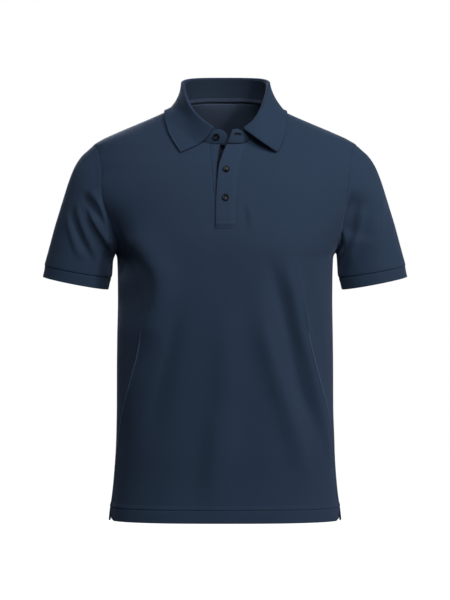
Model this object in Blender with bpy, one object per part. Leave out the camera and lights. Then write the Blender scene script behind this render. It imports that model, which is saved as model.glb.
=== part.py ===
"""A short-sleeved polo shirt in worn form with nobody in it: one closed wall of cloth for each sewn piece.

Tables are in millimetres, the objects in metres. +X is the viewer's right, -Y the front, +Z up.
The origin is the middle of the neck base between the shoulders.
"""

import math

import bmesh
import bpy
import numpy as np

MM = 0.001

# ------------------------------------------------------------------ sizes
BODY_THICK = 1.5
SLEEVE_THICK = 1.5
CUFF_THICK = 2.0
STAND_THICK = 2.0
FALL_THICK = 2.0
STRIP_THICK = 1.6
TAPE_THICK = 1.0
SEAM_GAP = 0.3
STRIP_OFF = 0.4  # the over strip lies this far off the body
FALL_OFF = 1.6
BUTTON_WIDE = 11.5
BUTTON_DEEP = 2.6
BUTTON_OFF = 0.6

HEM = -707.0
VENT_TOP = -661.0
UNDERARM = -250.5
STAND_SEAM = -68.5
SLOT_END = -203.4
STRIP_END = -212.0
CORNER_RISE = 4.0
NECK_TIP = (81.0, 2.0)  # x and height of the shoulder seam's ends
SHOULDER_TIP = (226.8, -66.5)

# Horizontal sections of the body, bottom to top.
# height, half width, depth in front, depth behind, shift back, squareness in front, squareness behind
TORSO = (
    (-707.0, 199.5, 111.0, 105.0, 2.0, 2.70, 2.60),
    (-690.0, 197.6, 109.5, 103.5, 2.0, 2.70, 2.60),
    (-660.0, 193.6, 107.5, 101.5, 2.0, 2.70, 2.60),
    (-621.0, 190.0, 106.0, 99.5, 1.0, 2.70, 2.60),
    (-583.0, 187.4, 106.0, 98.5, 0.0, 2.70, 2.60),
    (-520.0, 185.8, 108.0, 98.5, 0.0, 2.70, 2.55),
    (-450.0, 185.7, 112.0, 101.5, -1.0, 2.70, 2.50),
    (-390.0, 185.0, 117.0, 107.0, -1.0, 2.70, 2.45),
    (-330.0, 184.2, 121.5, 113.0, 0.0, 2.72, 2.46),
    (-290.0, 184.5, 123.5, 117.0, 0.0, 2.74, 2.48),
    (-270.0, 185.1, 124.2, 118.7, 0.0, 2.75, 2.48),
    (-259.0, 185.8, 124.5, 119.6, 0.0, 2.75, 2.48),
    (-250.5, 189.3, 124.7, 120.3, 0.0, 2.73, 2.46),
    (-240.0, 195.4, 124.6, 120.8, 0.0, 2.62, 2.36),
    (-226.0, 204.5, 124.0, 121.2, 0.2, 2.48, 2.22),
    (-205.0, 218.0, 121.8, 121.2, 0.6, 2.32, 2.04),
    (-184.0, 230.0, 118.6, 120.0, 1.0, 2.20, 1.92),
    (-134.0, 242.0, 107.0, 116.0, 2.0, 2.10, 1.88),
    (-99.0, 239.5, 93.0, 109.0, 3.0, 2.05, 1.92),
    (-80.0, 233.5, 81.5, 103.0, 4.0, 2.00, 1.96),
    (-66.5, 226.8, 73.0, 97.0, 4.0, 2.00, 2.00),
    (-57.0, 212.5, 67.0, 92.0, 4.0, 2.00, 2.00),
    (-43.0, 182.2, 57.0, 84.0, 4.0, 2.00, 2.00),
    (-34.4, 161.7, 50.0, 79.0, 3.5, 2.00, 2.00),
    (-13.8, 113.5, 34.0, 68.0, 1.5, 2.00, 2.00),
    (2.0, 81.0, 22.0, 61.0, 0.0, 2.00, 2.00),
    (7.0, 74.0, 18.0, 59.0, 0.0, 2.00, 2.00),
    (13.0, 68.0, 14.0, 57.0, 0.0, 2.00, 2.00),
)

# The side seam swings forward under the arm: height, distance from the middle
SIDE_SEAM = (
    (-707.0, 194.6),
    (-661.0, 189.6),
    (-621.0, 186.3),
    (-583.0, 182.6),
    (-517.0, 171.0),
    (-463.0, 156.5),
    (-388.0, 138.5),
    (-357.0, 134.5),
    (-326.0, 139.0),
    (-299.0, 152.0),
    (-275.0, 170.0),
    (-259.0, 183.4),
    (-250.5, 189.3),
)
# Below the top of the vent each piece has an edge of its own: height, front edge, back edge
VENT = ((-707.0, 192.6, 196.4), (-690.0, 193.4, 194.9), (-661.0, 189.6, 189.6))

# Seam of the sleeve, seen from the front: height, distance from the middle
ARMHOLE = (
    (-250.5, 189.3),
    (-245.0, 190.6),
    (-226.5, 194.3),
    (-185.5, 200.9),
    (-135.0, 207.8),
    (-100.0, 212.2),
    (-75.0, 218.2),
    (-69.0, 223.3),
    (-66.5, 226.8),
)

# Seams of the neck, seen from the front: distance from the middle, height
NECK_FRONT = (
    (0.0, -68.5),
    (24.0, -67.5),
    (43.0, -61.5),
    (58.0, -45.5),
    (69.5, -27.5),
    (77.0, -10.0),
    (81.0, 2.0),
)
NECK_BACK = ((0.0, 13.0), (28.0, 12.6), (52.0, 10.2), (70.0, 6.2), (81.0, 2.0))

# Edges of the opening down the front, signed distances: height, slot left, slot right,
# under strip free edge, over strip free edge, over strip sewn edge, stand-off of the free edge
OPENING = (
    (-215.0, -15.2, 17.5, 14.5, -15.6, 19.6, 0.4),
    (-190.0, -15.2, 17.5, 14.5, -15.5, 19.6, 0.6),
    (-157.0, -16.5, 18.0, 14.0, -14.7, 20.0, 1.0),
    (-131.0, -18.8, 19.5, 12.5, -12.8, 21.6, 1.8),
    (-107.0, -20.8, 22.5, 10.0, -10.3, 24.4, 3.0),
    (-88.0, -22.5, 27.0, 6.5, -4.5, 29.2, 4.2),
    (-68.5, -24.0, 34.0, 2.5, 3.3, 36.5, 5.0),
)

# Outlines of the sleeve, seen from the front: share of the way down,
# outer x, outer height, inner x, inner height, depth in front, depth behind, shift back
SLEEVE = (
    (0.00, 226.8, -66.5, 189.3, -250.5, 52.0, 60.0, 0.0),
    (0.04, 235.0, -74.0, 191.4, -253.4, 52.5, 60.0, 0.0),
    (0.11, 246.5, -84.8, 191.9, -257.5, 53.0, 59.0, -0.5),
    (0.22, 258.6, -103.5, 192.2, -262.5, 53.5, 57.0, -1.5),
    (0.34, 268.2, -127.5, 192.4, -267.0, 53.0, 54.5, -2.5),
    (0.46, 275.8, -151.5, 192.6, -271.5, 52.0, 52.5, -3.5),
    (0.59, 284.0, -178.5, 192.8, -275.5, 51.0, 51.0, -4.5),
    (0.73, 292.4, -206.5, 193.0, -280.0, 50.0, 49.5, -5.5),
    (0.87, 301.6, -241.0, 193.4, -286.5, 49.0, 48.5, -6.5),
    (1.00, 310.4, -273.0, 194.6, -293.6, 48.4, 47.9, -7.0),
)
CUFF = (
    (0.00, 309.3, -274.0, 196.4, -295.8, 47.3, 46.8, -7.0),
    (1.00, 312.8, -292.0, 200.2, -313.8, 46.4, 45.9, -8.0),
)
SLEEVE_TILT = 3.0  # the front of the sleeve end hangs lower by this
ARMHOLE_HOLD = 0.6  # share of the sleeve over which the armhole's shape fades out

# The collar, one row a station from the back middle to the front end of the fall.
# Stand seam x and height (they lie on the body), fold x, y, height, outer edge x, y, height
COLLAR_LEFT = (
    (0.0, 13.0, 0.0, 60.0, 55.6, 0.0, 76.0, 8.0),
    (28.0, 12.6, 24.0, 57.5, 55.3, 30.0, 73.5, 7.0),
    (52.0, 10.2, 45.0, 48.0, 54.0, 57.0, 63.0, 4.0),
    (70.0, 6.2, 61.0, 31.0, 51.0, 81.0, 43.0, -1.0),
    (81.0, 2.0, 70.0, 9.0, 45.5, 98.0, 16.0, -5.5),
    (79.2, -4.0, 69.5, -8.0, 36.0, 103.5, -7.0, -10.5),
    (75.5, -14.5, 66.0, -22.0, 22.0, 103.5, -25.5, -19.0),
    (69.5, -27.5, 60.5, -35.0, 7.0, 100.5, -40.0, -32.0),
    (60.0, -43.0, 51.0, -46.0, -9.5, 95.5, -54.6, -47.5),
    (46.0, -59.5, 34.0, -60.5, -27.5, 86.5, -67.3, -64.5),
    (25.0, -67.4, 18.0, -70.5, -38.5, 75.2, -79.0, -81.2),
)
COLLAR_RIGHT = (
    (0.0, 13.0, 0.0, 60.0, 55.6, 0.0, 76.0, 8.0),
    (28.0, 12.6, 24.0, 57.5, 55.3, 30.0, 73.5, 7.0),
    (52.0, 10.2, 45.5, 48.0, 54.0, 57.0, 63.0, 4.0),
    (70.0, 6.2, 62.0, 31.0, 51.3, 82.0, 43.0, -1.0),
    (81.0, 2.0, 71.5, 9.0, 46.0, 99.5, 16.0, -5.5),
    (79.2, -4.0, 71.8, -8.0, 37.0, 106.0, -7.0, -10.5),
    (75.5, -14.5, 69.0, -23.0, 22.0, 107.0, -26.0, -19.0),
    (69.5, -27.5, 64.0, -36.0, 7.0, 105.5, -40.0, -32.5),
    (61.0, -42.0, 57.0, -46.5, -9.5, 102.5, -54.8, -48.5),
    (50.0, -56.5, 45.5, -58.5, -27.5, 97.0, -67.2, -65.5),
    (36.0, -64.6, 29.6, -68.5, -40.5, 88.6, -78.8, -81.6),
)
# Ends of the stand past the fall: seam x, y, height, top x, y, height
STAND_END_LEFT = (
    (13.0, -70.6, -67.8, 9.5, -71.6, -42.6),
    (1.5, -71.2, -67.8, 0.6, -72.6, -46.4),
    (-1.8, -71.6, -63.6, -3.6, -73.0, -52.6),
)
STAND_END_RIGHT = (
    (24.0, -73.4, -66.6, 21.8, -71.4, -41.8),
    (13.0, -76.0, -66.9, 16.0, -74.2, -42.8),
    (4.2, -77.6, -66.4, 12.4, -75.8, -43.8),
)
SHOULDER_STATION = 4  # the row of the tables at the neck end of the shoulder seam
FOLD_RISE = 3.4  # the fall goes this far above the top of the stand
FOLD_SET = 0.4  # and starts this far inside the fold line
FOLD_ROUND = 3.0
FALL_SAG = 5.0
STAND_BULGE = 1.4
TAPE_LOW = 0.6
TAPE_TALL = 7.0
TAPE_OFF = 0.5

# Buttons: x and height of their middles
BUTTONS = (("button_upper", 2.2, -111.8), ("button_lower", 1.2, -160.0))
STAND_BUTTON = (-14.2, -55.6)

# Long soft folds of the worn cloth: height (+ out, - in), half width, then x, z points
FRONT_FOLDS = (
    (2.6, 15.0, ((66.0, -330.0), (93.0, -399.0), (115.0, -466.0), (133.0, -533.0), (157.0, -600.0))),
    (-2.2, 14.0, ((53.0, -345.0), (66.0, -416.0), (80.0, -466.0), (100.0, -533.0), (127.0, -617.0))),
    (-3.0, 12.0, ((106.0, -300.0), (113.0, -365.0), (133.0, -432.0), (147.0, -500.0), (165.0, -545.0))),
    (-2.2, 15.0, ((-80.0, -385.0), (-95.0, -449.0), (-108.0, -500.0), (-130.0, -572.0))),
    (2.4, 14.0, ((-103.0, -385.0), (-118.0, -440.0), (-132.0, -490.0), (-150.0, -560.0))),
    (-1.6, 15.0, ((-14.0, -340.0), (-13.0, -372.0), (-17.0, -420.0))),
    (1.6, 15.0, ((19.0, -340.0), (20.0, -410.0), (14.0, -480.0))),
    (-2.6, 12.0, ((-158.0, -256.0), (-146.0, -272.0), (-128.0, -304.0), (-119.0, -350.0))),
)
BACK_FOLDS = (
    (3.0, 18.0, ((60.0, -300.0), (78.0, -400.0), (96.0, -500.0), (120.0, -600.0))),
    (-2.8, 16.0, ((28.0, -330.0), (40.0, -430.0), (52.0, -520.0), (70.0, -610.0))),
    (2.4, 18.0, ((-52.0, -320.0), (-70.0, -420.0), (-84.0, -500.0), (-110.0, -590.0))),
    (-2.4, 16.0, ((-20.0, -350.0), (-26.0, -430.0), (-40.0, -520.0), (-52.0, -600.0))),
    (2.0, 20.0, ((130.0, -140.0), (112.0, -200.0), (100.0, -260.0))),
    (2.0, 20.0, ((-126.0, -150.0), (-114.0, -210.0), (-98.0, -250.0))),
)

# Near the underarm the inner columns of a panel keep to these angles: height, front, back
STEADY = (
    (-357.0, 41.5, 138.0),
    (-326.0, 43.0, 128.0),
    (-299.0, 47.5, 113.0),
    (-275.0, 52.5, 96.0),
    (-250.5, 56.5, 79.0),
    (-226.0, 58.0, 65.0),
    (-205.0, 58.0, 60.0),
    (-184.0, 57.6, 57.5),
)

# Grids: the panels' level rows, the rows above them and the cells across, then the other pieces
LOW_ROWS = (-707, -690, -661, -624, -586, -547, -508, -469, -430, -392, -357, -326, -299, -275, -259, -250.5)
UP_ROWS = 12
SLOT_ROW = 3
NECK_CELLS = 6
SHOULDER_CELLS = 7
BACK_NECK_CELLS = 8
SLOT_CELLS = 3
SLEEVE_SHARES = (0.0, 0.06, 0.14, 0.24, 0.35, 0.47, 0.6, 0.73, 0.87, 1.0)
CUFF_SHARES = (0.0, 0.5, 1.0)
STRIP_ROWS = 12
BUTTON_SIDES = 18

COLOURS = {
    "front_panel": (0.030, 0.042, 0.072),
    "back_panel": (0.029, 0.040, 0.069),
    "sleeve": (0.028, 0.039, 0.066),
    "cuff": (0.026, 0.037, 0.062),
    "collar": (0.029, 0.041, 0.069),
    "strip": (0.031, 0.043, 0.073),
    "tape": (0.036, 0.047, 0.074),
    "button": (0.010, 0.012, 0.018),
}


# ------------------------------------------------------------------ curves
def curve(points, column=1):
    """A smooth line through one column of a table over its first, with no overshoot."""
    table = sorted(points)
    xs = np.array([row[0] for row in table], float)
    ys = np.array([row[column] for row in table], float)
    step = np.diff(xs)
    slope = np.diff(ys) / step
    lean = np.zeros(len(xs))
    for i in range(1, len(xs) - 1):
        if slope[i - 1] * slope[i] > 0:
            w1 = 2 * step[i] + step[i - 1]
            w2 = step[i] + 2 * step[i - 1]
            lean[i] = (w1 + w2) / (w1 / slope[i - 1] + w2 / slope[i])
    lean[0], lean[-1] = slope[0], slope[-1]

    def value(x):
        x = np.clip(np.asarray(x, float), xs[0], xs[-1])
        i = np.clip(np.searchsorted(xs, x) - 1, 0, len(xs) - 2)
        t = (x - xs[i]) / step[i]
        return (
            ys[i] * (1 + 2 * t) * (1 - t) ** 2
            + ys[i + 1] * t * t * (3 - 2 * t)
            + step[i] * (lean[i] * t * (1 - t) ** 2 + lean[i + 1] * t * t * (t - 1))
        )

    return value


def ease(t, start, end):
    """Goes from 0 to 1 with the slopes start and end."""
    return start * (t - 2 * t**2 + t**3) + 3 * t**2 - 2 * t**3 + end * (t**3 - t**2)


def smooth(x):
    """Goes softly from 0 to 1."""
    x = np.clip(x, 0.0, 1.0)
    return x * x * (3 - 2 * x)


def unit(v):
    return v / np.maximum(np.linalg.norm(v, axis=-1, keepdims=True), 1e-12)


HALF_WIDTH, DEPTH_FRONT, DEPTH_BACK, SHIFT, SQUARE, SQUARE_BACK = (curve(TORSO, k) for k in range(1, 7))
VENT_FRONT, VENT_BACK = curve(VENT, 1), curve(VENT, 2)
SEAM_X = curve(SIDE_SEAM)
ARM_X = curve(ARMHOLE)
NECK_FRONT_Z = curve(NECK_FRONT)
NECK_BACK_Z = curve(NECK_BACK)
SLOT_L, SLOT_R, UNDER_FREE, OVER_FREE, OVER_SEWN, OVER_OFF = (curve(OPENING, k) for k in range(1, 7))
STEADY_FRONT = curve([(z, math.radians(front)) for z, front, _ in STEADY])
STEADY_BACK = curve([(z, math.radians(back)) for z, _, back in STEADY])


# ------------------------------------------------------------------ the body's form
def angle_at(x, z, back=False):
    """The angle from the middle of the front, or of the back, at height z where the section is x from it."""
    n = SQUARE_BACK(z) if back else SQUARE(z)
    q = np.clip(np.abs(x) / HALF_WIDTH(z), 0.0, 1.0) ** n
    return np.sign(x) * np.arctan2(q ** (1 / n), np.maximum(1 - q, 0.0) ** (1 / n))


def fold_height(folds, x, z):
    """Sum of the folds' heights at x, z, each faded in and out along its own length."""
    total = np.zeros(np.broadcast(x, z).shape)
    for height, half, points in folds:
        line = curve([(low, across) for across, low in points])
        top, bottom = points[0][1], points[-1][1]
        along = smooth((z - bottom + 18) / 50) * smooth((top + 12 - z) / 42)
        total = total + height * along * np.exp(-(((x - line(z)) / half) ** 2))
    return total


def on_body(u, z, folds=True):
    """The outside of the body at the angle u (0 front, pi back, + to the viewer's right) and height z."""
    u, z = np.broadcast_arrays(np.asarray(u, float), np.asarray(z, float))
    wide, shift = HALF_WIDTH(z), SHIFT(z)
    n = np.where(np.cos(u) >= 0, SQUARE(z), SQUARE_BACK(z))
    deep = np.where(np.cos(u) >= 0, DEPTH_FRONT(z), DEPTH_BACK(z))
    su, cu = np.sin(u), np.cos(u)
    k = (np.abs(su) ** n + np.abs(cu) ** n) ** (-1 / n)
    x, y = wide * k * su, shift - deep * k * cu
    if folds:
        nx, ny = deep * su, -wide * cu
        size = np.hypot(nx, ny)
        h = np.where(cu >= 0, fold_height(FRONT_FOLDS, x, z), fold_height(BACK_FOLDS, x, z))
        # folds flatten out towards the sides
        h = h * smooth(np.abs(cu) / 0.35)
        x, y = x + h * nx / size, y + h * ny / size
    return np.stack([x, y, z], -1)


def body_gap(points):
    """About how far points lie outside the body's outside, and the way out there."""

    def value(p):
        x, y, z = p[..., 0], p[..., 1], p[..., 2]
        off = y - SHIFT(z)
        n = np.where(off < 0, SQUARE(z), SQUARE_BACK(z))
        deep = np.where(off < 0, DEPTH_FRONT(z), DEPTH_BACK(z))
        return ((np.abs(x) / HALF_WIDTH(z)) ** n + (np.abs(off) / deep) ** n) ** (1 / n) - 1

    here = value(points)
    slope = np.stack([(value(points + step) - value(points - step)) / 0.2 for step in 0.1 * np.eye(3)], -1)
    size = np.maximum(np.linalg.norm(slope, axis=-1), 1e-9)
    return here / size, slope / size[..., None]


def keep_off(points, least):
    """Moves points out until they are at least this far outside the body."""
    out = np.array(points, float)
    for _ in range(4):
        gap, way = body_gap(out)
        out += way * np.maximum(least - gap, 0.0)[..., None]
    return out


# ------------------------------------------------------------------ panels
def seam_angle(z, edge):
    """Angle of the side seam, or below the top of the vent of one piece's own edge."""
    x = np.where(z < VENT_TOP - 0.1, edge(z), SEAM_X(z))
    return np.where(z > UNDERARM - 0.01, math.pi / 2, angle_at(x, z))


def share_angle(s, first, last, z, back):
    """Angle of the column at the share s, from the inner edge to the outer, at height z."""
    steady = (STEADY_BACK if back else STEADY_FRONT)(z)
    inside = (z > STEADY[0][0]) & (z < STEADY[-1][0])
    steady = np.where(inside, np.minimum(steady, last), last)
    return first + (steady - first) * s + (last - steady) * s**5


def panel_half(side, neck_cells, inner_low, inner_up, neck_x, neck_height, back=False):
    """Angles and heights of half a panel: rows from the hem up, columns from the inner edge to the side."""
    cells = neck_cells + SHOULDER_CELLS
    s = np.arange(cells + 1)[None, :] / cells
    split = neck_cells / cells

    # below the underarm the rows are level
    z = np.array(LOW_ROWS, float)[:, None]
    seam = math.pi - seam_angle(z, VENT_BACK) if back else seam_angle(z, VENT_FRONT)
    low = share_angle(s, inner_low(z), seam, z, back)
    low_z = np.broadcast_to(z, low.shape)

    # the last row follows the neck seam and then the shoulder seam
    ridge_z = np.linspace(NECK_TIP[1], SHOULDER_TIP[1], 400)
    shoulder_x = np.linspace(NECK_TIP[0], SHOULDER_TIP[0], SHOULDER_CELLS + 1)[1:]
    shoulder_z = np.interp(shoulder_x, HALF_WIDTH(ridge_z), ridge_z)
    top_x = np.concatenate([neck_x, shoulder_x])
    top_z = np.concatenate([neck_height(neck_x), shoulder_z])
    on_ridge = np.arange(cells + 1) >= neck_cells

    # between them the rows turn from level into that line
    t = np.arange(1, UP_ROWS + 1)[:, None] / UP_ROWS
    low_x = on_body(math.pi - low[-1] if back else low[-1], UNDERARM, False)[:, 0]
    rise = ease(t, 1 - s**8, 1 - smooth((s - split + 0.22) / 0.22))
    x = low_x + (top_x - low_x) * rise
    z = UNDERARM + (top_z - UNDERARM) * rise
    to_armhole = ARM_X(z[:, -1:]) - x[:, -1:]
    to_inner = inner_up(z[:, :1]) - x[:, :1]
    x = x + to_armhole * s**3 + to_inner * (1 - s) ** 3
    x[-1] = top_x
    u = angle_at(x, z, back)

    # low down the columns share the way round to the armhole
    shared = share_angle(s, angle_at(inner_up(z), z, back), angle_at(ARM_X(z), z, back), z, back)
    mixed = shared + (u - shared) * smooth((t - 0.12) / 0.7)
    u = np.where(t < 1, mixed, np.where(on_ridge, math.pi / 2, u))

    grid = np.stack([np.vstack([low, u]), np.vstack([low_z, z])], -1)
    if back:
        grid[..., 0] = math.pi - grid[..., 0]
    grid[..., 0] *= side
    return grid


def neck_columns(start, cells, bend):
    """Distances from the middle of the columns along the neck seam, closer towards the shoulder."""
    share = np.sin(np.linspace(0, 1, cells + 1) * math.pi / 2) ** bend
    return start + (NECK_TIP[0] - start) * share


def front_grid():
    halves = {}
    for side, slot in ((-1, SLOT_L), (1, SLOT_R)):
        halves[side] = panel_half(
            side,
            NECK_CELLS,
            lambda z, edge=slot: angle_at(np.abs(edge(np.maximum(z, OPENING[0][0]))), z),
            lambda z, edge=slot: np.abs(edge(z)),
            neck_columns(abs(float(slot(STAND_SEAM))), NECK_CELLS, 0.9),
            NECK_FRONT_Z,
        )
    left, right = halves[-1][:, ::-1], halves[1]
    share = np.arange(1, SLOT_CELLS)[None, :, None] / SLOT_CELLS
    middle = left[:, -1:] + (right[:, :1] - left[:, -1:]) * share
    return np.concatenate([left, middle, right], 1)


def back_grid():
    neck_x = neck_columns(0.0, BACK_NECK_CELLS, 0.95)
    half = panel_half(1, BACK_NECK_CELLS, np.zeros_like, np.zeros_like, neck_x, NECK_BACK_Z, True)
    other = half * (-1, 1)
    return np.concatenate([half[:, ::-1], other[:, 1:]], 1)


def round_corners(grid, points):
    """Lifts the lower corners of the front, which are cut round."""
    out = points.copy()
    for edge in (0, -1):
        out[0, edge] = on_body(grid[0, edge, 0], HEM + CORNER_RISE)
    return out


# ------------------------------------------------------------------ sleeves
def sleeve_rings(side, table, shares, seam=None):
    """Rings down the sleeve, each from the underarm up the front, over the top and down the back."""
    t = np.array(shares)[:, None]
    outer_x, outer_z, inner_x, inner_z, front, behind, shift = (curve(table, k)(t) for k in range(1, 8))
    angles = math.pi * (1 - np.arange(2 * UP_ROWS) / UP_ROWS)[None, :]
    c, s = np.cos(angles), np.sin(angles)
    tilt = SLEEVE_TILT * smooth(t) if table is SLEEVE else SLEEVE_TILT
    x = (outer_x + inner_x) / 2 + (outer_x - inner_x) / 2 * c
    y = shift - np.where(s >= 0, front, behind) * s
    z = (outer_z + inner_z) / 2 + (outer_z - inner_z) / 2 * c - tilt * s
    rings = np.stack([x * side, y, z], -1)
    if seam is not None:
        # the sleeve head starts on the armhole and lets go of its shape on the way down
        hold = np.maximum(0.0, 1 - t / ARMHOLE_HOLD) ** 2
        rings = rings + (seam - rings[0]) * hold[..., None]
    return rings


# ------------------------------------------------------------------ walls
def face_normals(points, mask=None, closed=False):
    """Sum of the face normals at each point of a grid, over the cells that the mask keeps."""
    rows, cols = points.shape[:2]
    total = np.zeros_like(points)
    for j in range(rows - 1):
        for i in range(cols if closed else cols - 1):
            if mask is not None and not mask[j, i]:
                continue
            ring = ((j, i), (j, (i + 1) % cols), (j + 1, (i + 1) % cols), (j + 1, i))
            a, b, c, d = (points[at] for at in ring)
            for at in ring:
                total[at] += np.cross(c - a, d - b)
    return total


def grid_normals(points, closed=False):
    return unit(face_normals(points, None, closed))


def weld(grids):
    """Normals shared by all grids where their points meet. Each entry is (points, mask, closed, side)."""
    raw = [face_normals(points, mask, closed) * side for points, mask, closed, side in grids]
    sums = {}
    for (points, *_), own in zip(grids, raw):
        for p, v in zip(points.reshape(-1, 3), own.reshape(-1, 3)):
            key = tuple(np.round(p, 3))
            sums[key] = sums.get(key, 0) + v
    out = []
    for (points, *_), own in zip(grids, raw):
        joined = unit(np.array([sums[tuple(np.round(p, 3))] for p in points.reshape(-1, 3)]))
        own = unit(own.reshape(-1, 3))
        # in the sharp fold under the arm each wall keeps more of its own way, and is thinner
        lean = smooth((0.85 - (joined * own).sum(1)) / 0.45)[:, None]
        out.append((unit(joined + own * lean * 1.2) * (1 - 0.4 * lean)).reshape(points.shape))
    return out


def inset(points, edges):
    """Pulls the named edges of a grid back from their seams by half the gap."""
    out = points.copy()
    for edge in edges:
        line, beside = {
            "bottom": ((0,), (1,)),
            "top": ((-1,), (-2,)),
            "left": ((slice(None), 0), (slice(None), 1)),
            "right": ((slice(None), -1), (slice(None), -2)),
        }[edge]
        out[line] += unit(points[beside] - points[line]) * SEAM_GAP / 2
    return out


def paint(obj, key):
    name = f"cloth_{key}" if key != "button" else "resin_button"
    mat = bpy.data.materials.get(name) or bpy.data.materials.new(name)
    mat.use_nodes = True
    shader = next(n for n in mat.node_tree.nodes if n.type == "BSDF_PRINCIPLED")
    shader.inputs["Base Color"].default_value = (*COLOURS[key], 1.0)
    shader.inputs["Roughness"].default_value = 0.25 if key == "button" else 0.9
    mat.diffuse_color = (*COLOURS[key], 1.0)
    obj.data.materials.append(mat)


def make_object(name, verts, faces, key):
    mesh = bpy.data.meshes.new(name)
    mesh.from_pydata([tuple(float(c) * MM for c in v) for v in verts], [], faces)
    bm = bmesh.new()
    bm.from_mesh(mesh)
    bmesh.ops.recalc_face_normals(bm, faces=bm.faces)
    if bm.calc_volume(signed=True) < 0:
        bmesh.ops.reverse_faces(bm, faces=bm.faces)
    bmesh.ops.triangulate(bm, faces=bm.faces)
    bm.to_mesh(mesh)
    bm.free()
    obj = bpy.data.objects.new(name, mesh)
    bpy.context.scene.collection.objects.link(obj)
    paint(obj, key)


def wall(name, outer, normals, thick, key, closed=False, mask=None):
    """A closed wall of cloth between a grid of points and the same points moved in by its thickness."""
    rows, cols = outer.shape[:2]
    layers = (outer, outer - normals * thick)
    index, verts = {}, []

    def vert(layer, at):
        if (layer, at) not in index:
            index[(layer, at)] = len(verts)
            verts.append(layers[layer][at])
        return index[(layer, at)]

    faces, border = [], {}
    for j in range(rows - 1):
        for i in range(cols if closed else cols - 1):
            if mask is not None and not mask[j, i]:
                continue
            k = (i + 1) % cols
            ring = ((j, i), (j, k), (j + 1, k), (j + 1, i))
            faces.append([vert(0, at) for at in ring])
            faces.append([vert(1, at) for at in reversed(ring)])
            for p, q in zip(ring, ring[1:] + ring[:1]):
                if (q, p) in border:
                    del border[(q, p)]
                else:
                    border[(p, q)] = True
    for p, q in border:
        faces.append([vert(0, q), vert(0, p), vert(1, p), vert(1, q)])
    make_object(name, verts, faces, key)


# ------------------------------------------------------------------ collar
def collar_rows(table, seam_x, behind):
    """Fold and edge of the collar for points of the stand seam, by their distance from the middle."""
    rows = range(SHOULDER_STATION + 1) if behind else range(SHOULDER_STATION, len(table))
    place = curve([(table[i][0], i) for i in rows])(seam_x)
    return np.stack([curve([(i, row[k]) for i, row in enumerate(table)])(place) for k in range(2, 8)], -1)


def collar_stations(front, back):
    """The seam, fold and outer edge of the collar at each corner of the body's neck edge,
    from the front end on the viewer's left round the back to the other front end."""
    last = SHOULDER_CELLS + NECK_CELLS + 1
    left = front[-1, SHOULDER_CELLS:last][::-1]
    right = front[-1, ::-1][SHOULDER_CELLS:last]
    behind = back[-1, SHOULDER_CELLS : SHOULDER_CELLS + 2 * BACK_NECK_CELLS + 1][::-1]
    seam = np.vstack([left, behind[1:-1], right])
    lines = []
    for k, (x, _, _) in enumerate(seam):
        is_behind = len(left) <= k < len(seam) - len(right)
        table = COLLAR_LEFT if x < 0 else COLLAR_RIGHT
        side = -1 if x < 0 else 1
        lines.append(collar_rows(table, abs(x), is_behind) * (side, 1, 1, side, 1, 1))
    fold, edge = np.array(lines)[:, :3], np.array(lines)[:, 3:]
    return seam, fold, edge


def ring_out(points):
    """Level directions that point away from the neck along a line round it."""
    along = np.gradient(points, axis=0)
    return unit(np.stack([-along[:, 1], along[:, 0], np.zeros(len(points))], -1))


def stand_rows(low, high, shares):
    """Lines between the foot and the top of the stand, which bulges a little."""
    rows = []
    for share in shares:
        line = low + (high - low) * share
        rows.append(line + ring_out(line) * STAND_BULGE * math.sin(math.pi * share))
    return np.array(rows)


def stand_grid(seam, fold):
    top = fold - np.array([0, 0, FOLD_RISE]) - ring_out(fold) * FOLD_SET
    left = np.array(STAND_END_LEFT)[::-1] * (-1, 1, 1, -1, 1, 1)
    right = np.array(STAND_END_RIGHT)
    low = np.vstack([left[:, :3], seam, right[:, :3]])
    high = np.vstack([left[:, 3:], top, right[:, 3:]])
    grid = stand_rows(low, high, (0.0, 0.33, 0.67, 1.0))
    # the seam edge stands just above the body's neck edge
    grid[0] += unit(grid[1] - grid[0]) * SEAM_GAP
    return grid


def fall_grid(fold, edge):
    out = ring_out(fold)
    up = np.array([0.0, 0.0, 1.0])
    rows = [fold - up * (FOLD_RISE - SEAM_GAP) - out * FOLD_SET]
    centre = fold + out * (FOLD_ROUND - FOLD_SET) - up * FOLD_ROUND
    for degrees in (150, 110, 70, 30):
        a = math.radians(degrees)
        rows.append(centre + out * FOLD_ROUND * math.cos(a) + up * FOLD_ROUND * math.sin(a))
    start = rows[-1]
    place = np.abs(np.linspace(-1, 1, len(fold)))
    sag = FALL_SAG * smooth((1 - place) / 0.25)
    for share in (0.22, 0.45, 0.7, 0.88, 1.0):
        # hollow between the fold and the shoulder, as the cloth turns out over it
        hollow = sag * 4 * share * (1 - share)
        line = start + (edge - start) * share - (out * 0.9 - up * 0.1) * hollow[:, None]
        rows.append(keep_off(line, FALL_THICK + FALL_OFF))
    return np.array(rows)


def neck_tape(stand, normals):
    """The tape inside the stand over the back neck seam."""
    middle = stand.shape[1] // 2
    behind = slice(middle - BACK_NECK_CELLS, middle + BACK_NECK_CELLS + 1)
    low, high = stand[0, behind], stand[-1, behind]
    inward = -normals[0, behind] * (STAND_THICK + TAPE_THICK + TAPE_OFF)
    tall = np.linalg.norm(high - low, axis=1)
    rows = []
    for height in (TAPE_LOW, TAPE_TALL):
        share = (height / tall)[:, None]
        bulge = STAND_BULGE * np.sin(math.pi * share)
        rows.append(low + (high - low) * share + ring_out(low) * bulge + inward)
    return np.array(rows)


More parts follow.
